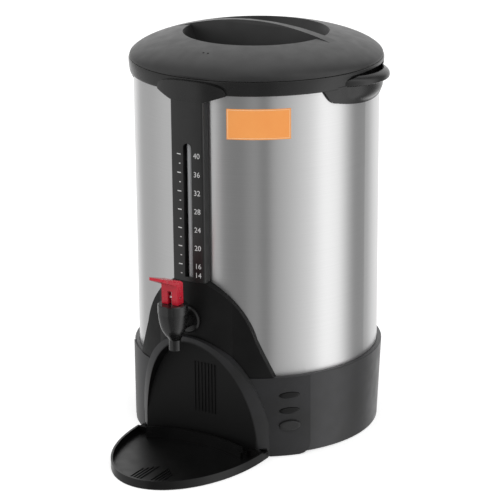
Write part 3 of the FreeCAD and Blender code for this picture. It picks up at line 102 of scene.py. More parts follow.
class Paint:
    # A material with its shader and short ways to add nodes to it
    def __init__(self, name, colour, roughness, metallic=0.0):
        self.material = bpy.data.materials.new(name)
        self.material.use_nodes = True
        self.tree = self.material.node_tree
        self.shader = self.tree.nodes["Principled BSDF"]
        self.shader.inputs["Base Color"].default_value = colour
        self.shader.inputs["Roughness"].default_value = roughness
        self.shader.inputs["Metallic"].default_value = metallic
        self.places = self.tree.nodes.new("ShaderNodeTexCoord").outputs["Object"]

    def node(self, kind, **settings):
        made = self.tree.nodes.new(kind)
        for name, value in settings.items():
            setattr(made, name, value)
        return made

    def link(self, start, finish):
        self.tree.links.new(start, finish)

    def scaled(self, scale):
        mapping = self.node("ShaderNodeMapping")
        mapping.inputs["Scale"].default_value = scale
        self.link(self.places, mapping.inputs["Vector"])
        return mapping.outputs["Vector"]

    def noise(self, scale, detail=3.0, stretch=(1, 1, 1)):
        texture = self.node("ShaderNodeTexNoise")
        texture.inputs["Scale"].default_value = scale
        texture.inputs["Detail"].default_value = detail
        self.link(self.scaled(stretch), texture.inputs["Vector"])
        return texture.outputs["Fac"]

    def spread(self, value, low, high, start=0.0, finish=1.0):
        # Low to high as the value goes from start to finish
        chart = self.node("ShaderNodeMapRange")
        chart.inputs["From Min"].default_value = start
        chart.inputs["From Max"].default_value = finish
        chart.inputs["To Min"].default_value = low
        chart.inputs["To Max"].default_value = high
        self.link(value, chart.inputs["Value"])
        return chart.outputs["Result"]

    def ramp(self, value, stops):
        # A colour by the value, from stops of a place and a colour
        chart = self.node("ShaderNodeValToRGB")
        band = chart.color_ramp
        while len(band.elements) < len(stops):
            band.elements.new(0.5)
        for element, (place, colour) in zip(band.elements, stops):
            element.position = place
            element.color = colour
        self.link(value, chart.inputs["Fac"])
        return chart.outputs["Color"]

    def mottled(self, dark, light):
        return self.ramp(self.noise(MOTTLE_SCALE, 4), list(zip(MOTTLE_RANGE, (dark, light))))

    def in_arch(self, half, foot, rise):
        # Nought inside an arch-shaped hollow that runs front to back, one outside it: the mask for the
        # niche's painted shade and duller gloss
        placed = self.node("ShaderNodeMapping", vector_type="POINT")
        placed.inputs["Scale"].default_value = (1 / half, 0, 1 / rise)
        placed.inputs["Location"].default_value = (0, 0, -foot / rise)
        self.link(self.places, placed.inputs["Vector"])
        length = self.node("ShaderNodeVectorMath", operation="LENGTH")
        self.link(placed.outputs["Vector"], length.inputs[0])
        return self.spread(length.outputs["Value"], 0.0, 1.0, *NICHE_SHADE_EDGE)

    def between(self, share, first, second):
        # The first colour where the share is nought, the second where it is one
        blend = self.node("ShaderNodeMix", data_type="RGBA")
        self.link(share, blend.inputs[MIX_SHARE])
        blend.inputs[MIX_FIRST].default_value = first
        self.link(second, blend.inputs[MIX_SECOND])
        return blend.outputs[MIX_RESULT]

    def bump(self, height, strength, distance):
        bumps = self.node("ShaderNodeBump")
        bumps.inputs["Strength"].default_value = strength
        bumps.inputs["Distance"].default_value = distance
        self.link(height, bumps.inputs["Height"])
        self.link(bumps.outputs["Normal"], self.shader.inputs["Normal"])


def moulded(name, dark, light, rough_low, rough_high, grain=GRAIN_STRENGTH):
    # Injection-moulded plastic: faint mottling, uneven gloss and a fine spark-eroded grain
    paint = Paint(name, light, rough_high)
    paint.link(paint.mottled(dark, light), paint.shader.inputs["Base Color"])
    gloss = paint.spread(paint.noise(GLOSS_SCALE, 3), rough_low, rough_high, *NOISE_RANGE)
    paint.link(gloss, paint.shader.inputs["Roughness"])
    paint.bump(paint.noise(GRAIN_SCALE, 2), grain, GRAIN_DEPTH)
    return paint.material


def niche_plastic(name, dark, light, painted_shade, rough_inside, rough_outside):
    # The front panel's plastic, which is duller inside the niche and has shade painted into its colour there
    paint = Paint(name, light, rough_outside)
    skin = paint.mottled(dark, light)
    outside = paint.in_arch(NICHE_HALF, NICHE_FOOT, NICHE_RISE)
    # Painted shade: inside the niche the colour is the deep dark one, not the plastic's own
    paint.link(paint.between(outside, painted_shade, skin), paint.shader.inputs["Base Color"])
    paint.link(paint.spread(outside, rough_inside, rough_outside), paint.shader.inputs["Roughness"])
    paint.bump(paint.noise(GRAIN_SCALE, 2), GRAIN_STRENGTH, GRAIN_DEPTH)
    return paint.material


def brushed(name, dark, light, rough_low, rough_high, anisotropy=0.0):
    # Brushed metal: long fine strokes round the Z axis, which stretch reflections along it
    paint = Paint(name, light, rough_high, metallic=1.0)
    strokes = paint.noise(STROKE_SCALE, 4, STROKE_STRETCH)
    clouds = paint.noise(CLOUD_SCALE, 3, CLOUD_STRETCH)
    if anisotropy:
        paint.shader.inputs["Anisotropic"].default_value = anisotropy
        paint.shader.inputs["Anisotropic Rotation"].default_value = 0.25
        tangent = paint.node("ShaderNodeTangent", direction_type="RADIAL", axis="Z")
        paint.link(tangent.outputs["Tangent"], paint.shader.inputs["Tangent"])
    mixed = paint.node("ShaderNodeMix", data_type="FLOAT")
    mixed.inputs["Factor"].default_value = CLOUD_SHARE
    paint.link(strokes, mixed.inputs["A"])
    paint.link(clouds, mixed.inputs["B"])
    shades = paint.ramp(mixed.outputs["Result"], list(zip(NOISE_RANGE, (dark, light))))
    paint.link(shades, paint.shader.inputs["Base Color"])
    paint.link(paint.spread(strokes, rough_low, rough_high, *NOISE_RANGE), paint.shader.inputs["Roughness"])
    paint.bump(strokes, STROKE_STRENGTH, STROKE_DEPTH)
    return paint.material


black_satin = moulded("black_satin", grey(0.010), grey(0.016), 0.42, 0.52)
lid_black = moulded("lid_black", grey(0.015), grey(0.022), 0.38, 0.46, 0.2)
collar_black = moulded("collar_black", grey(0.004), grey(0.008), 0.22, 0.30)
shroud_black = moulded("shroud_black", grey(0.003), grey(0.006), 0.42, 0.52)
panel_black = moulded("panel_black", grey(0.018), (0.027, 0.027, 0.030, 1), 0.34, 0.42)
# Its third colour is painted shade, which darkens the panel inside the niche
panel_with_painted_niche_shade = niche_plastic("panel_with_painted_niche_shade", grey(0.014), (0.022, 0.022, 0.024, 1), grey(0.0015), 0.62, 0.42)
column_black = moulded("column_black", grey(0.007), grey(0.011), 0.30, 0.40, 0.06)
gloss_black = moulded("gloss_black", grey(0.008), grey(0.012), 0.10, 0.16, 0.03)
tray_black = moulded("tray_black", grey(0.002), grey(0.004), 0.30, 0.38, 0.1)
red_plastic = moulded("red_plastic", (0.42, 0.004, 0.018, 1), (0.55, 0.008, 0.03, 1), 0.22, 0.30, 0.05)
pale_plastic = moulded("pale_plastic", (0.62, 0.60, 0.54, 1), (0.72, 0.70, 0.64, 1), 0.4, 0.5)
lens_black = moulded("lens_black", grey(0.002), grey(0.004), 0.06, 0.10, 0.02)
soft_rubber = moulded("soft_rubber", grey(0.014), grey(0.028), 0.65, 0.8, 0.3)
silicone = moulded("silicone", (0.62, 0.58, 0.52, 1), (0.74, 0.70, 0.64, 1), 0.5, 0.62, 0.1)
drum_steel = brushed("drum_steel", grey(0.60), grey(0.65), 0.28, 0.32, 0.92)
inner_steel = brushed("inner_steel", grey(0.55), grey(0.68), 0.30, 0.40)
cast_metal = moulded("cast_metal", grey(0.40), grey(0.55), 0.5, 0.62, 0.4)
zinc_metal = brushed("zinc_metal", grey(0.62), grey(0.75), 0.22, 0.32)
brass_metal = brushed("brass_metal", (0.56, 0.40, 0.16, 1), (0.72, 0.54, 0.26, 1), 0.24, 0.34)
cast_metal.node_tree.nodes["Principled BSDF"].inputs["Metallic"].default_value = 1.0

# These plastics mirror less than the others
for material, sheen in ((shroud_black, 0.22), (panel_with_painted_niche_shade, 0.38), (lens_black, 0.3), (tray_black, 0.3)):
    material.node_tree.nodes["Principled BSDF"].inputs["Specular IOR Level"].default_value = sheen


def clear(name, colour, rough_low, rough_high):
    # Clear acrylic, a little greyed
    paint = Paint(name, colour, rough_high)
    paint.shader.inputs["Transmission Weight"].default_value = 0.25
    paint.shader.inputs["IOR"].default_value = 1.47
    lines = paint.noise(DRAWN_SCALE, 2, DRAWN_STRETCH)
    paint.link(paint.spread(lines, rough_low, rough_high), paint.shader.inputs["Roughness"])
    return paint.material


clear_acrylic = clear("clear_acrylic", (0.44, 0.45, 0.46, 1), 0.03, 0.12)

# Material of each node
DRESS = {
    "base_ring": panel_black, "front_panel": panel_with_painted_niche_shade, "bottom_plate": black_satin,
    "rubber_feet": soft_rubber, "base_screws": zinc_metal, "panel_screws": zinc_metal,
    "front_shroud": shroud_black,
    "gauge_column": column_black, "sight_tube": clear_acrylic, "sight_tube_cap": soft_rubber,
    "gauge_elbow": brass_metal, "elbow_seal": silicone, "elbow_nut": brass_metal, "barrel_shell": drum_steel,
    "tank_floor": inner_steel, "heater_plate": cast_metal, "heating_element": inner_steel,
    "heater_studs": zinc_metal, "heater_nuts": zinc_metal, "thermostat": pale_plastic,
    "thermal_fuse": pale_plastic, "top_collar": black_satin, "lid": lid_black, "pump_tube": inner_steel,
    "pump_foot": inner_steel, "coffee_basket": inner_steel, "basket_cover": inner_steel,
    "tap_body": collar_black, "tap_flange": collar_black, "tap_nut": pale_plastic,
    "tap_outer_washer": silicone, "tap_inner_washer": silicone, "tap_bonnet": gloss_black,
    "valve_stem": zinc_metal, "seat_cup": silicone, "tap_spring": zinc_metal,
    "tap_lever": red_plastic, "lever_pin": zinc_metal, "drip_tray": tray_black,
    "lamp_lens_upper": gloss_black, "lamp_lens_lower": gloss_black, "lamp_holders": pale_plastic,
    "power_button": black_satin, "switch_body": pale_plastic, "cord_gland": soft_rubber,
}
for name, material in DRESS.items():
    thing = nodes[name]
    thing.data.materials.clear()
    thing.data.materials.append(material)


white_print = moulded("white_print", grey(0.50), grey(0.62), 0.5, 0.6, 0.02)
orange_paper = moulded("orange_paper", (0.90, 0.33, 0.075, 1), (0.93, 0.37, 0.09, 1), 0.42, 0.5, 0.03)
pale_print = moulded("pale_print", (0.93, 0.62, 0.36, 1), (0.95, 0.68, 0.44, 1), 0.45, 0.55, 0.02)

# The gauge column's crowned front, and how thick the print on it is
GAUGE_FRONT = -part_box("gauge_column")[0][1]
GAUGE_CROWN = 64.4 * MM
INK = 0.04 * MM


def on_gauge(x, height):
    # A point just off the crowned front of the gauge column
    middle = -(GAUGE_FRONT - GAUGE_CROWN)
    return Vector((x, middle - math.sqrt(GAUGE_CROWN ** 2 - x ** 2) - INK, height))


def new_piece(name, mesh, material, body):
    # A piece of the object, from a mesh in the row's frame
    piece = bpy.data.objects.new(name, mesh)
    bpy.context.collection.objects.link(piece)
    mesh.materials.append(material)
    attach(piece, body)
    return piece


def patch(builder, place, across, up, columns, rows=1):
    # A curved patch between two pairs of limits, laid on a surface by a function
    grid = []
    for height in steps(*up, rows):
        grid.append([builder.verts.new(place(along, height)) for along in steps(*across, columns)])
    for low, high in zip(grid, grid[1:]):
        for column in range(columns):
            builder.faces.new((low[column], low[column + 1], high[column + 1], high[column]))


def finished(builder, name):
    mesh = bpy.data.meshes.new(name)
    builder.to_mesh(mesh)
    builder.free()
    return mesh


# Printed cup scale on the gauge: a long mark and a number every 4 cups, a short mark between
CUP_TOP, CUP_STEP = 270.6 * MM, 16.2 * MM
FIRST_CUPS, LAST_CUPS, CUP_PACE = 16, 40, 4
LOWEST_NUMBER = 14
LONG_MARK, LONG_MARK_HALF = (-9.2 * MM, -5.2 * MM), 0.45 * MM
SHORT_MARK, SHORT_MARK_HALF = (-7.2 * MM, -5.6 * MM), 0.4 * MM
NUMBER_SIZE, NUMBER_WIDTH, NUMBER_MIDDLE, NUMBER_DROP = 6.6 * MM, 0.92, 10.0 * MM, 0.4 * MM


def scale_height(cups):
    return CUP_TOP - (LAST_CUPS - cups) / CUP_PACE * CUP_STEP


def gauge_marks():
    builder = bmesh.new()
    for cups in range(FIRST_CUPS, LAST_CUPS + 1, CUP_PACE):
        height = scale_height(cups)
        patch(builder, on_gauge, LONG_MARK, (height - LONG_MARK_HALF, height + LONG_MARK_HALF), 4)
        middle = height - 0.5 * CUP_STEP
        patch(builder, on_gauge, SHORT_MARK, (middle - SHORT_MARK_HALF, middle + SHORT_MARK_HALF), 2)
    new_piece("cup_marks", finished(builder, "cup_marks"), white_print, "urn")


def lettered(text, size):
    # The mesh of a short number, centred, lying in its own XY plane
    curve = bpy.data.curves.new(text, "FONT")
    curve.body = text
    curve.size = size
    curve.align_x = "CENTER"
    curve.align_y = "CENTER"
    curve.resolution_u = 3
    holder = bpy.data.objects.new(text, curve)
    bpy.context.collection.objects.link(holder)
    mesh = bpy.data.meshes.new_from_object(holder)
    bpy.data.objects.remove(holder)
    return mesh


def gauge_numbers():
    builder = bmesh.new()
    for cups in [LOWEST_NUMBER] + list(range(FIRST_CUPS, LAST_CUPS + 1, CUP_PACE)):
        mesh = lettered(str(cups), NUMBER_SIZE)
        height = scale_height(cups) - NUMBER_DROP
        for vertex in mesh.vertices:
            vertex.co = on_gauge(NUMBER_MIDDLE + NUMBER_WIDTH * vertex.co.x, height + vertex.co.y)
        builder.from_mesh(mesh)
    new_piece("cup_numbers", finished(builder, "cup_numbers"), white_print, "urn")


gauge_marks()
gauge_numbers()


# Bare orange paper label on the drum, with a paler printed edge
LABEL_ANGLES = (16.9, 45.8)
LABEL_HEIGHTS = (284.7 * MM, 311.0 * MM)
LABEL_COLUMNS, LABEL_ROWS = 36, 4
LABEL_PROUD, EDGE_PROUD = 0.10 * MM, 0.14 * MM


def on_label(angle, height):
    return around(DRUM_RADIUS + LABEL_PROUD, angle, height)


def on_label_edge(angle, height):
    return around(DRUM_RADIUS + EDGE_PROUD, angle, height)


def paper_label():
    builder = bmesh.new()
    patch(builder, on_label, LABEL_ANGLES, LABEL_HEIGHTS, LABEL_COLUMNS, LABEL_ROWS)
    new_piece("paper_label", finished(builder, "paper_label"), orange_paper, "urn")


def label_edge():
    border = bmesh.new()
    inset_angle = 0.5
    inset = 0.9 * MM
    width = 0.35 * MM
    left, right = LABEL_ANGLES[0] + inset_angle, LABEL_ANGLES[1] - inset_angle
    low, high = LABEL_HEIGHTS[0] + inset, LABEL_HEIGHTS[1] - inset
    thin = math.degrees(width / DRUM_RADIUS)
    for heights in ((high - width, high), (low, low + width)):
        patch(border, on_label_edge, (left, right), heights, LABEL_COLUMNS)
    for angles in ((left, left + thin), (right - thin, right)):
        patch(border, on_label_edge, angles, (low, high), 1, LABEL_ROWS)
    new_piece("label_edge", finished(border, "label_edge"), pale_print, "urn")


paper_label()
label_edge()

# Points nearer than this become one: in a loft, in a joined or cut solid, in a copy of a node's mesh
LOFT_WELD, SOLID_WELD, NODE_WELD = 0.01 * MM, 0.0005 * MM, 0.005 * MM

# An edge that turns by more than this stays sharp
CORNER_ANGLE = 38


def lofted(builder, outlines, wraps=False):
    # Skins a row of closed outlines with as many points each, and closes the ends that don't come round
    rows = [[builder.verts.new(point) for point in outline] for outline in outlines]
    pairs = list(zip(rows, rows[1:]))
    if wraps:
        pairs.append((rows[-1], rows[0]))
    for first, second in pairs:
        for index in range(len(first)):
            after = (index + 1) % len(first)
            builder.faces.new((first[index], first[after], second[after], second[index]))
    if not wraps:
        builder.faces.new(list(reversed(rows[0])))
        builder.faces.new(rows[-1])


def rounded(builder, name, weld=LOFT_WELD):
    # A mesh that is smooth but for its corners
    bmesh.ops.remove_doubles(builder, verts=builder.verts, dist=weld)
    bmesh.ops.recalc_face_normals(builder, faces=builder.faces)
    for face in builder.faces:
        face.smooth = True
    for edge in builder.edges:
        edge.smooth = len(edge.link_faces) == 2 and edge.calc_face_angle(0) < math.radians(CORNER_ANGLE)
    return finished(builder, name)


def solid(start, changes):
    # A closed mesh after other closed meshes are joined to it or cut from it, one by one
    holder = bpy.data.objects.new("holder", start)
    bpy.context.collection.objects.link(holder)
    tools = []
    for operation, mesh in changes:
        tool = bpy.data.objects.new("tool", mesh)
        bpy.context.collection.objects.link(tool)
        change = holder.modifiers.new(operation, "BOOLEAN")
        change.operation = operation
        change.solver = "EXACT"
        change.object = tool
        tools.append(tool)
    ready = holder.evaluated_get(bpy.context.evaluated_depsgraph_get())
    mesh = bpy.data.meshes.new_from_object(ready)
    for thing in tools + [holder]:
        bpy.data.objects.remove(thing)
    builder = bmesh.new()
    builder.from_mesh(mesh)
    return rounded(builder, start.name, SOLID_WELD)


def node_form(node):
    # A copy of a node's closed form, to be built on
    builder = bmesh.new()
    builder.from_mesh(nodes[node].data)
    bmesh.ops.remove_doubles(builder, verts=builder.verts, dist=NODE_WELD)
    mesh = finished(builder, node + "_form")
    mesh.materials.clear()
    return mesh


def gathered(name, meshes):
    # One mesh that holds several closed forms which don't touch each other
    builder = bmesh.new()
    for mesh in meshes:
        builder.from_mesh(mesh)
    return finished(builder, name)


def lofted_mesh(name, outlines, wraps=False):
    builder = bmesh.new()
    lofted(builder, outlines, wraps)
    return rounded(builder, name)


# Gap left between pieces that fit into each other
FIT_GAP = 0.3 * MM

# Top collar: a ring over the drum's rim, recessed behind each handle, with the hood over the gauge
# SKIN is the drum's radius with room to fit
SKIN = DRUM_RADIUS + 0.15 * MM
COLLAR_LOW, COLLAR_TOP, COLLAR_EDGE = 322.3 * MM, 334.7 * MM, 0.8 * MM
COLLAR_FOOT, COLLAR_OUTER, COLLAR_LIP = 110.6 * MM, 112.0 * MM, 104.6 * MM
COLLAR_FLARE, RIM_TOP = 9 * MM, 331.05 * MM
RECESS_WALL, RECESS_TOP, RECESS_CORNER, RECESS_HALF = 109.7 * MM, 332.0 * MM, 7 * MM, 25.5
HANDLE_MIDDLES = (4, 176)


def collar_ring():
    side = []
    for share in steps(0.0, 1.0, 8):
        radius = COLLAR_FOOT + (COLLAR_OUTER - COLLAR_FOOT) * share
        side.append((radius, COLLAR_LOW + COLLAR_FLARE * share ** 2))
    for turn in (0, 30, 60, 90):
        swing = math.radians(turn)
        side.append((COLLAR_OUTER - COLLAR_EDGE * (1 - math.cos(swing)),
                     COLLAR_TOP - COLLAR_EDGE * (1 - math.sin(swing))))
    inside = [(COLLAR_LIP, COLLAR_TOP), (COLLAR_LIP, RIM_TOP), (SKIN, RIM_TOP), (SKIN, COLLAR_LOW)]
    section = side + inside
    outlines = [[around(radius, degree, height) for radius, height in section] for degree in FULL_TURN]
    return lofted_mesh("collar_ring", outlines, wraps=True)


def handle_recess(place):
    # Room behind a handle, open below and outwards
    foot, beyond = COLLAR_LOW - 1 * MM, COLLAR_OUTER + 2 * MM
    outlines = []
    for off in steps(-RECESS_HALF, RECESS_HALF, 48):
        bend = max(0.0, RECESS_CORNER - math.radians(RECESS_HALF - abs(off)) * COLLAR_OUTER)
        roof = RECESS_TOP - RECESS_CORNER + math.sqrt(max(0.0, RECESS_CORNER ** 2 - bend ** 2))
        corners = [(RECESS_WALL, foot), (beyond, foot), (beyond, roof), (RECESS_WALL, roof)]
        outlines.append([place @ around(radius, off + 90, height) for radius, height in corners])
    return lofted_mesh("recess", outlines)


HOOD_HALF, HOOD_SHOULDER, HOOD_TOP = 33.5 * MM, 325.3 * MM, 334.0 * MM
HOOD_LOW, HOOD_COLUMN, HOOD_BEND = 316.65 * MM, 16 * MM, 2.2


def gauge_hood():
    # An arched cover over the gauge column's head, which runs out into the ring on both sides
    outlines = []
    for x in steps(-HOOD_HALF, HOOD_HALF, 60):
        share = abs(x) / HOOD_HALF
        high = HOOD_SHOULDER + (HOOD_TOP - HOOD_SHOULDER) * math.sqrt(max(0.0, 1 - share ** HOOD_BEND))
        beyond = max(0.0, (abs(x) - HOOD_COLUMN) / (HOOD_HALF - HOOD_COLUMN))
        low = HOOD_LOW + (COLLAR_LOW - HOOD_LOW) * beyond
        outline = [on_gauge(x, height) for height in steps(low, high, 4)]
        for height in (high, low):
            outline.append(Vector((x, -math.sqrt(SKIN ** 2 - x ** 2), height)))
        outlines.append(outline)
    return lofted_mesh("hood", outlines)


# Handles: a skirt below the ring, a bowl that swells from it, and a grip ledge over the bowl
HANDLE_LOW, HANDLE_HALF, HANDLE_KEEL_HALF, HANDLE_KEEL = 304.8 * MM, 59.6 * MM, 48 * MM, 5.6 * MM
HANDLE_SWEEP, HANDLE_OVERLAP = 1.9, 0.5 * MM
BOWL_REACH, BOWL_RADIUS, BOWL_WALL, SKIRT_RADIUS = 115.5 * MM, 60.8 * MM, 2.6 * MM, 110.2 * MM
BOWL_TURN, BOWL_TUCK, BOWL_BEND, BOWL_BLEND = 12 * MM, 7.2 * MM, 2.4, 0.7 * MM
BOWL_FLOOR, BOWL_LEAST, BOWL_BRIM, BOWL_THIN = 6 * MM, 1 * MM, 0.1 * MM, 0.3 * MM
GRIP_REACH, GRIP_RADIUS, GRIP_LOW, GRIP_CREST = 123 * MM, 47.5 * MM, 322.6 * MM, 330.4 * MM
GRIP_TURN, GRIP_PACE, GRIP_OVERLAP = 64, 2, 1 * MM


def handle_keel(y):
    # Height of the handle's lower edge, seen from the side
    across = abs(y)
    if across < HANDLE_KEEL_HALF:
        return HANDLE_LOW + HANDLE_KEEL * (across / HANDLE_KEEL_HALF) ** 2
    bend = (across - HANDLE_KEEL_HALF) / (HANDLE_HALF - HANDLE_KEEL_HALF)
    start = HANDLE_LOW + HANDLE_KEEL
    return start + (COLLAR_LOW + HANDLE_OVERLAP - start) * bend ** HANDLE_SWEEP


def handle_face(y, height):
    # How far the skirt or the bowl that swells from it stands out
    skirt = math.sqrt(SKIRT_RADIUS ** 2 - y ** 2)
    turn = max(0.0, 1 - (height - HANDLE_LOW) / BOWL_TURN)
    radius = BOWL_RADIUS - BOWL_TUCK * turn ** BOWL_BEND
    bowl = BOWL_REACH - BOWL_RADIUS + math.sqrt(max(0.0, radius ** 2 - y ** 2))
    return 0.5 * (skirt + bowl + math.hypot(skirt - bowl, BOWL_BLEND))


def handle_bowl(place):
    # The rounded wall and floor under a grip, open at the top
    brow = GRIP_LOW + GRIP_OVERLAP
    outlines = []
    for y in steps(-HANDLE_HALF, HANDLE_HALF, 60):
        keel = handle_keel(y)
        floor = min(brow - BOWL_BRIM, max(HANDLE_LOW + BOWL_FLOOR, keel + BOWL_LEAST))
        skin = math.sqrt(SKIN ** 2 - y ** 2)
        outside = [(handle_face(y, height), height) for height in steps(keel, brow, 14)]
        inside = [(max(handle_face(y, height) - BOWL_WALL, skin + BOWL_THIN), height)
                  for height in steps(brow, floor, 6)]
        outline = [(skin, keel)] + outside + inside + [(skin, floor)]
        outlines.append([place @ Vector((x, y, height)) for x, height in outline])
    return lofted_mesh("bowl", outlines)


def grip_ledge(place):
    # Section of the grip in millimetres: how far in from its lip, and the height over its underside
    crest = GRIP_CREST - GRIP_LOW
    section = [(9.5, 0), (1.2, -0.1), (0.2, 0.6), (0, 1.8), (0.3, 3.8), (1.2, 5.2), (2.8, 6.6)]
    section += [(5.0, crest / MM), (6.2, crest / MM - 0.3), (6.7, 4.4), (8.0, 2.4), (9.5, 2.2)]
    outlines = []
    for degree in range(-GRIP_TURN, GRIP_TURN + 1, GRIP_PACE):
        turn = math.radians(degree)
        outline = []
        for inset, rise in section:
            radius = GRIP_RADIUS - inset * MM
            out = GRIP_REACH - GRIP_RADIUS + radius * math.cos(turn)
            outline.append(place @ Vector((out, radius * math.sin(turn), GRIP_LOW + rise * MM)))
        outlines.append(outline)
    return solid(lofted_mesh("grip", outlines), [("DIFFERENCE", drum_room())])


def drum_room():
    # The room that the drum takes up, which no part of the collar enters
    spare = 30 * MM
    outlines = []
    for height in (GRIP_LOW - spare, GRIP_CREST + spare):
        outlines.append([around(SKIN, degree, height) for degree in FULL_TURN])
    return lofted_mesh("drum_room", outlines)


def top_collar():
    places = [Matrix.Rotation(math.radians(middle), 4, "Z") for middle in HANDLE_MIDDLES]
    changes = [("DIFFERENCE", handle_recess(place)) for place in places]
    changes += [("UNION", gauge_hood())]
    changes += [("UNION", handle_bowl(place)) for place in places]
    changes += [("UNION", grip_ledge(place)) for place in places]
    mesh = solid(collar_ring(), changes)
    piece = new_piece("collar_with_handles", mesh, collar_black, "urn")
    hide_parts("top_collar")


top_collar()


# Base ring and front panel, with smooth outer faces from foot to top and a seam where they meet
SEAM_ANGLE, SEAM_GAP = 53.95, 0.25
APRON_FACE, APRON_LOW, APRON_TOP, APRON_CORNER = 113.15 * MM, 0.6 * MM, 73.4 * MM, 10 * MM
APRON_WALL, FRAME_OVERLAP = 1.1 * MM, 1.5 * MM

# Lamp lenses and button: half width, half height and height of the middle. Windows are cut for them.
CONTROL_ANGLE = 44.2
LENS_HALF, LENS_RISE = 9.2 * MM, 2.7 * MM
LENS_HEIGHTS = {"lamp_lens_upper": 56.8 * MM, "lamp_lens_lower": 42.6 * MM}
BUTTON_HALF, BUTTON_RISE, BUTTON_HEIGHT = 9.3 * MM, 4.5 * MM, 29.0 * MM
WINDOW_DEPTH, OVAL_POINTS = 4.5 * MM, 48

# Cord gland at the rear: its neck and its flange need room through the base's wall, out to GLAND_END
GLAND_HEIGHT, GLAND_RADIUS, GLAND_FLANGE, GLAND_PROUD = 22 * MM, 6 * MM, 9 * MM, 3.2 * MM
GLAND_START, GLAND_END = 100 * MM, 125 * MM
GLAND_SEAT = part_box("cord_gland")[1][1] - GLAND_PROUD
GLAND_ROOMS = ((GLAND_RADIUS + FIT_GAP, GLAND_START), (GLAND_FLANGE + FIT_GAP, GLAND_SEAT - 0.05 * MM))


def gland_room(radius, start):
    # Room through the rear wall for the cord gland's neck, and outside it for its flange
    outlines = []
    for y in (start, GLAND_END):
        loop = []
        for degree in range(0, 360, 6):
            turn = math.radians(degree)
            loop.append(Vector((radius * math.cos(turn), y, GLAND_HEIGHT + radius * math.sin(turn))))
        outlines.append(loop)
    return lofted_mesh("gland_room", outlines)


def smooth_base():
    # A copy of the base ring's form with one outer face, which widens from foot to top and ends in a brim
    foot, top, brim = 0.9 * MM, 72.8 * MM, 0.9 * MM
    low, high = DRUM_RADIUS + 0.75 * MM, DRUM_RADIUS + 4.25 * MM
    brim_outer, brim_inner, foot_wall = 0.8 * MM, 1.2 * MM, 0.4 * MM
    section = [(low, foot), (high, top), (high - brim_outer, top + brim), (high - brim_inner, top + brim),
               (low - foot_wall, foot)]
    outlines = []
    for angle in steps(SEAM_ANGLE + SEAM_GAP, 360 - SEAM_ANGLE - SEAM_GAP, 160):
        outlines.append([around(radius, angle, height) for radius, height in section])
    changes = [("UNION", lofted_mesh("outer_face", outlines))]
    changes += [("DIFFERENCE", gland_room(radius, start)) for radius, start in GLAND_ROOMS]
    mesh = solid(node_form("base_ring"), changes)
    piece = new_piece("smooth_base", mesh, panel_black, "urn")
    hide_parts("base_ring")


def oval_bar(name, half, rise, centre, section):
    # An oval bar on the apron. Each line of its section gives a share of its size and how proud it stands
    outlines = []
    for share, proud in section:
        loop = []
        for index in range(OVAL_POINTS):
            turn = 2 * math.pi * index / OVAL_POINTS
            angle = CONTROL_ANGLE + math.degrees(half * share * math.cos(turn) / APRON_FACE)
            loop.append(around(APRON_FACE + proud, angle, centre + rise * share * math.sin(turn)))
        outlines.append(loop)
    return lofted_mesh(name, outlines)


def apron(side):
    # The panel's face between the arched frame and the seam, on the left or the right
    outlines = []
    corner_top = APRON_LOW + APRON_CORNER
    for height in steps(APRON_LOW, corner_top, 12) + steps(corner_top, APRON_TOP, 24)[1:]:
        bend = max(0.0, corner_top - height)
        inset = APRON_CORNER - math.sqrt(APRON_CORNER ** 2 - bend ** 2)
        reach = SEAM_ANGLE - math.degrees(inset / APRON_FACE)
        frame_half = ARCH_HALF * math.sqrt(1 - (max(0.0, height - NICHE_FOOT) / ARCH_RISE) ** 2)
        start = math.degrees(math.asin((frame_half - FRAME_OVERLAP) / APRON_FACE))
        across = steps(start, reach, 16)
        outline = [around(APRON_FACE, side * angle, height) for angle in across]
        outline += [around(APRON_FACE - APRON_WALL, side * angle, height) for angle in reversed(across)]
        outlines.append(outline)
    return lofted_mesh("apron", outlines)


def sill():
    # Fills the niche's floor up to the curved back of the drip tray, clear of it all round
    half, depth, tray_back = 50 * MM, 11 * MM, -101.5 * MM
    radius = (half ** 2 + depth ** 2) / (2 * depth)
    middle = tray_back - radius
    back, low, high = -100.6 * MM, 1.0 * MM, 2.85 * MM
    outlines = []
    for x in steps(FIT_GAP - half, half - FIT_GAP, 40):
        front = middle + math.sqrt(radius ** 2 - x ** 2) + FIT_GAP
        outlines.append([Vector((x, front, low)), Vector((x, back, low)), Vector((x, back, high)),
                         Vector((x, front, high))])
    return lofted_mesh("sill", outlines)


def window(half, rise, centre):
    through = [(1, -WINDOW_DEPTH), (1, WINDOW_DEPTH)]
    return oval_bar("window", half + FIT_GAP, rise + FIT_GAP, centre, through)


def full_panel():
    # A copy of the front panel's form, with full aprons, a sill and oval windows for the controls
    windows = [window(LENS_HALF, LENS_RISE, centre) for centre in LENS_HEIGHTS.values()]
    windows.append(window(BUTTON_HALF, BUTTON_RISE, BUTTON_HEIGHT))
    changes = [("UNION", gathered("additions", [apron(1), apron(-1), sill()]))]
    changes += [("DIFFERENCE", gathered("windows", windows))]
    mesh = solid(node_form("front_panel"), changes)
    piece = new_piece("full_panel", mesh, panel_with_painted_niche_shade, "urn")
    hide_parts("front_panel")


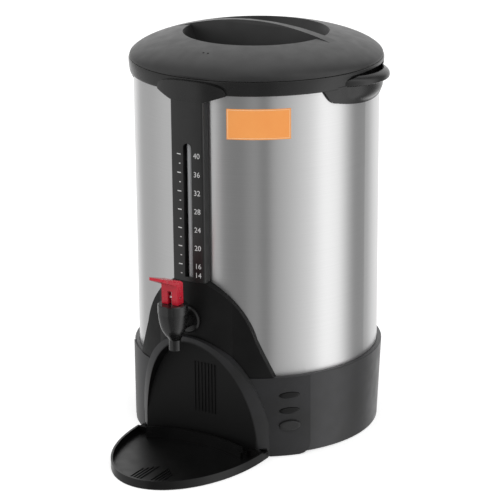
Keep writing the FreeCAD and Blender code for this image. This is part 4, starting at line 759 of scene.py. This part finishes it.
def controls():
    dome = [(1.0, -1.6 * MM), (1.0, 0.25 * MM), (0.97, 0.5 * MM), (0.88, 0.65 * MM), (0.7, 0.72 * MM),
            (0.3, 0.75 * MM)]
    for node, centre in LENS_HEIGHTS.items():
        mesh = oval_bar(node + "_oval", LENS_HALF, LENS_RISE, centre, dome)
        piece = new_piece(node + "_oval", mesh, lens_black, "urn")
        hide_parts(node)
    cap = [(1.0, -3.2 * MM), (1.0, 1.7 * MM), (0.98, 2.1 * MM), (0.93, 2.4 * MM), (0.84, 2.55 * MM),
           (0.6, 2.5 * MM), (0.25, 2.45 * MM)]
    mesh = oval_bar("button_oval", BUTTON_HALF, BUTTON_RISE, BUTTON_HEIGHT, cap)
    piece = new_piece("button_oval", mesh, black_satin, "button")
    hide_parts("power_button")


smooth_base()
full_panel()
controls()


def springy_coil():
    mesh = node_form("tap_spring")
    for face in mesh.polygons:
        face.use_smooth = True
    piece = new_piece("springy_coil", mesh, zinc_metal, "urn")
    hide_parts("tap_spring")
    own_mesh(piece)


springy_coil()


def photo_camera():
    # Long lens at the photograph's height and side
    lens_data = bpy.data.cameras.new("camera")
    camera = bpy.data.objects.new("camera", lens_data)
    bpy.context.collection.objects.link(camera)
    distance, height = 1.8234, 0.7322
    pitch = 17.59
    roll = -0.0068
    focal_pixels = 2120.2
    picture = 500.0
    centre_column = 257.7
    sensor = 36
    turn = math.radians(FRONT_AZIMUTH)
    camera.location = (distance * math.sin(turn), -distance * math.cos(turn), height)
    look = Matrix.Rotation(turn, 4, "Z") @ Matrix.Rotation(math.radians(90 - pitch), 4, "X")
    camera.rotation_euler = (look @ Matrix.Rotation(roll, 4, "Z")).to_euler()
    lens_data.sensor_width = sensor
    lens_data.lens = focal_pixels / picture * sensor
    lens_data.shift_x = (picture / 2 - centre_column) / picture
    lens_data.clip_start = 0.05
    bpy.context.scene.camera = camera


photo_camera()

# Floor: half its width, and the light of its own that only the camera sees
FLOOR_HALF = 12
FLOOR_LIFT = 0.50


def floor_sheet():
    builder = bmesh.new()
    bmesh.ops.create_grid(builder, x_segments=1, y_segments=1, size=FLOOR_HALF)
    sheet = bpy.data.objects.new("floor", finished(builder, "floor"))
    bpy.context.collection.objects.link(sheet)
    return sheet


def pale_floor():
    # White to the camera away from shadows, and clear to reflections, which see the studio round it
    paint = Paint("floor_white", grey(0.8), 0.95)
    paint.shader.inputs["Specular IOR Level"].default_value = 0.0
    rays = paint.node("ShaderNodeLightPath")
    glow = paint.node("ShaderNodeEmission")
    glow.inputs["Color"].default_value = grey(1.0)
    lift = paint.spread(rays.outputs["Is Camera Ray"], 0.0, FLOOR_LIFT)
    paint.link(lift, glow.inputs["Strength"])
    both = paint.node("ShaderNodeAddShader")
    paint.link(paint.shader.outputs["BSDF"], both.inputs[0])
    paint.link(glow.outputs["Emission"], both.inputs[1])
    through = paint.node("ShaderNodeBsdfTransparent")
    choice = paint.node("ShaderNodeMixShader")
    paint.link(rays.outputs["Is Glossy Ray"], choice.inputs["Fac"])
    paint.link(both.outputs["Shader"], choice.inputs[1])
    paint.link(through.outputs["BSDF"], choice.inputs[2])
    paint.link(choice.outputs["Shader"], paint.tree.nodes["Material Output"].inputs["Surface"])
    return paint.material


floor = floor_sheet()
floor.data.materials.append(pale_floor())

# The studio that reflections see, by angle from the camera's side: white walls, soft boxes and darker gaps
STUDIO = [
    (-180, 1.15), (-158, 1.05), (-138, 0.55), (-114, 0.58), (-96, 0.72), (-40, 0.80),
    (-33, 0.29), (-14, 0.29), (-2, 0.42), (8, 0.24), (16, 0.52), (30, 0.68),
    (52, 1.00), (66, 1.50), (82, 1.45), (92, 0.90), (102, 0.40), (118, 0.32),
    (126, 0.55), (142, 1.00), (164, 1.08), (180, 1.15),
]
BRIGHTEST = max(level for angle, level in STUDIO)
PLAIN_LIGHT = 0.75
WHITE = 1.0


def studio():
    # Reflections see the studio, the camera and clear parts see white, and all else gets plain light
    world = bpy.data.worlds.new("studio")
    world.use_nodes = True
    tree = world.node_tree
    tree.nodes.clear()

    def node(kind):
        return tree.nodes.new(kind)

    coordinates = node("ShaderNodeTexCoord")
    turned = node("ShaderNodeMapping")
    turned.inputs["Rotation"].default_value = (0, 0, math.radians(90 - FRONT_AZIMUTH))
    tree.links.new(coordinates.outputs["Generated"], turned.inputs["Vector"])
    compass = node("ShaderNodeTexGradient")
    compass.gradient_type = "RADIAL"
    tree.links.new(turned.outputs["Vector"], compass.inputs["Vector"])
    chart = node("ShaderNodeValToRGB")
    band = chart.color_ramp
    while len(band.elements) < len(STUDIO):
        band.elements.new(0.5)
    for element, (angle, level) in zip(band.elements, STUDIO):
        element.position = angle / 360 + 0.5
        element.color = grey(level / BRIGHTEST)
    tree.links.new(compass.outputs["Fac"], chart.inputs["Fac"])
    walls = node("ShaderNodeBackground")
    walls.inputs["Strength"].default_value = BRIGHTEST
    tree.links.new(chart.outputs["Color"], walls.inputs["Color"])
    plain = node("ShaderNodeBackground")
    plain.inputs["Color"].default_value = grey(1.0)
    plain.inputs["Strength"].default_value = PLAIN_LIGHT
    backdrop = node("ShaderNodeBackground")
    backdrop.inputs["Color"].default_value = grey(1.0)
    backdrop.inputs["Strength"].default_value = WHITE
    rays = node("ShaderNodeLightPath")
    seen = node("ShaderNodeMath")
    seen.operation = "MAXIMUM"
    tree.links.new(rays.outputs["Is Camera Ray"], seen.inputs[0])
    tree.links.new(rays.outputs["Is Transmission Ray"], seen.inputs[1])
    glossy = node("ShaderNodeMixShader")
    tree.links.new(rays.outputs["Is Glossy Ray"], glossy.inputs["Fac"])
    tree.links.new(plain.outputs["Background"], glossy.inputs[1])
    tree.links.new(walls.outputs["Background"], glossy.inputs[2])
    whole = node("ShaderNodeMixShader")
    tree.links.new(seen.outputs["Value"], whole.inputs["Fac"])
    tree.links.new(glossy.outputs["Shader"], whole.inputs[1])
    tree.links.new(backdrop.outputs["Background"], whole.inputs[2])
    result = node("ShaderNodeOutputWorld")
    tree.links.new(whole.outputs["Shader"], result.inputs["Surface"])
    bpy.context.scene.world = world


studio()

# Where both lamps point
LAMP_TARGET = (0, 0, 0.2)


def lamp(name, place, size, power):
    # A soft square light that reflections don't show
    data = bpy.data.lights.new(name, "AREA")
    data.size = size
    data.energy = power
    light = bpy.data.objects.new(name, data)
    light.location = place
    light.rotation_euler = (Vector(LAMP_TARGET) - Vector(place)).to_track_quat("-Z", "Y").to_euler()
    light.visible_glossy = False
    bpy.context.collection.objects.link(light)


lamp("key", (1.6, -1.2, 1.9), size=1.0, power=18)
lamp("left", (-1.6, -0.9, 1.1), size=0.9, power=8)

bpy.context.scene.view_settings.view_transform = "Standard"
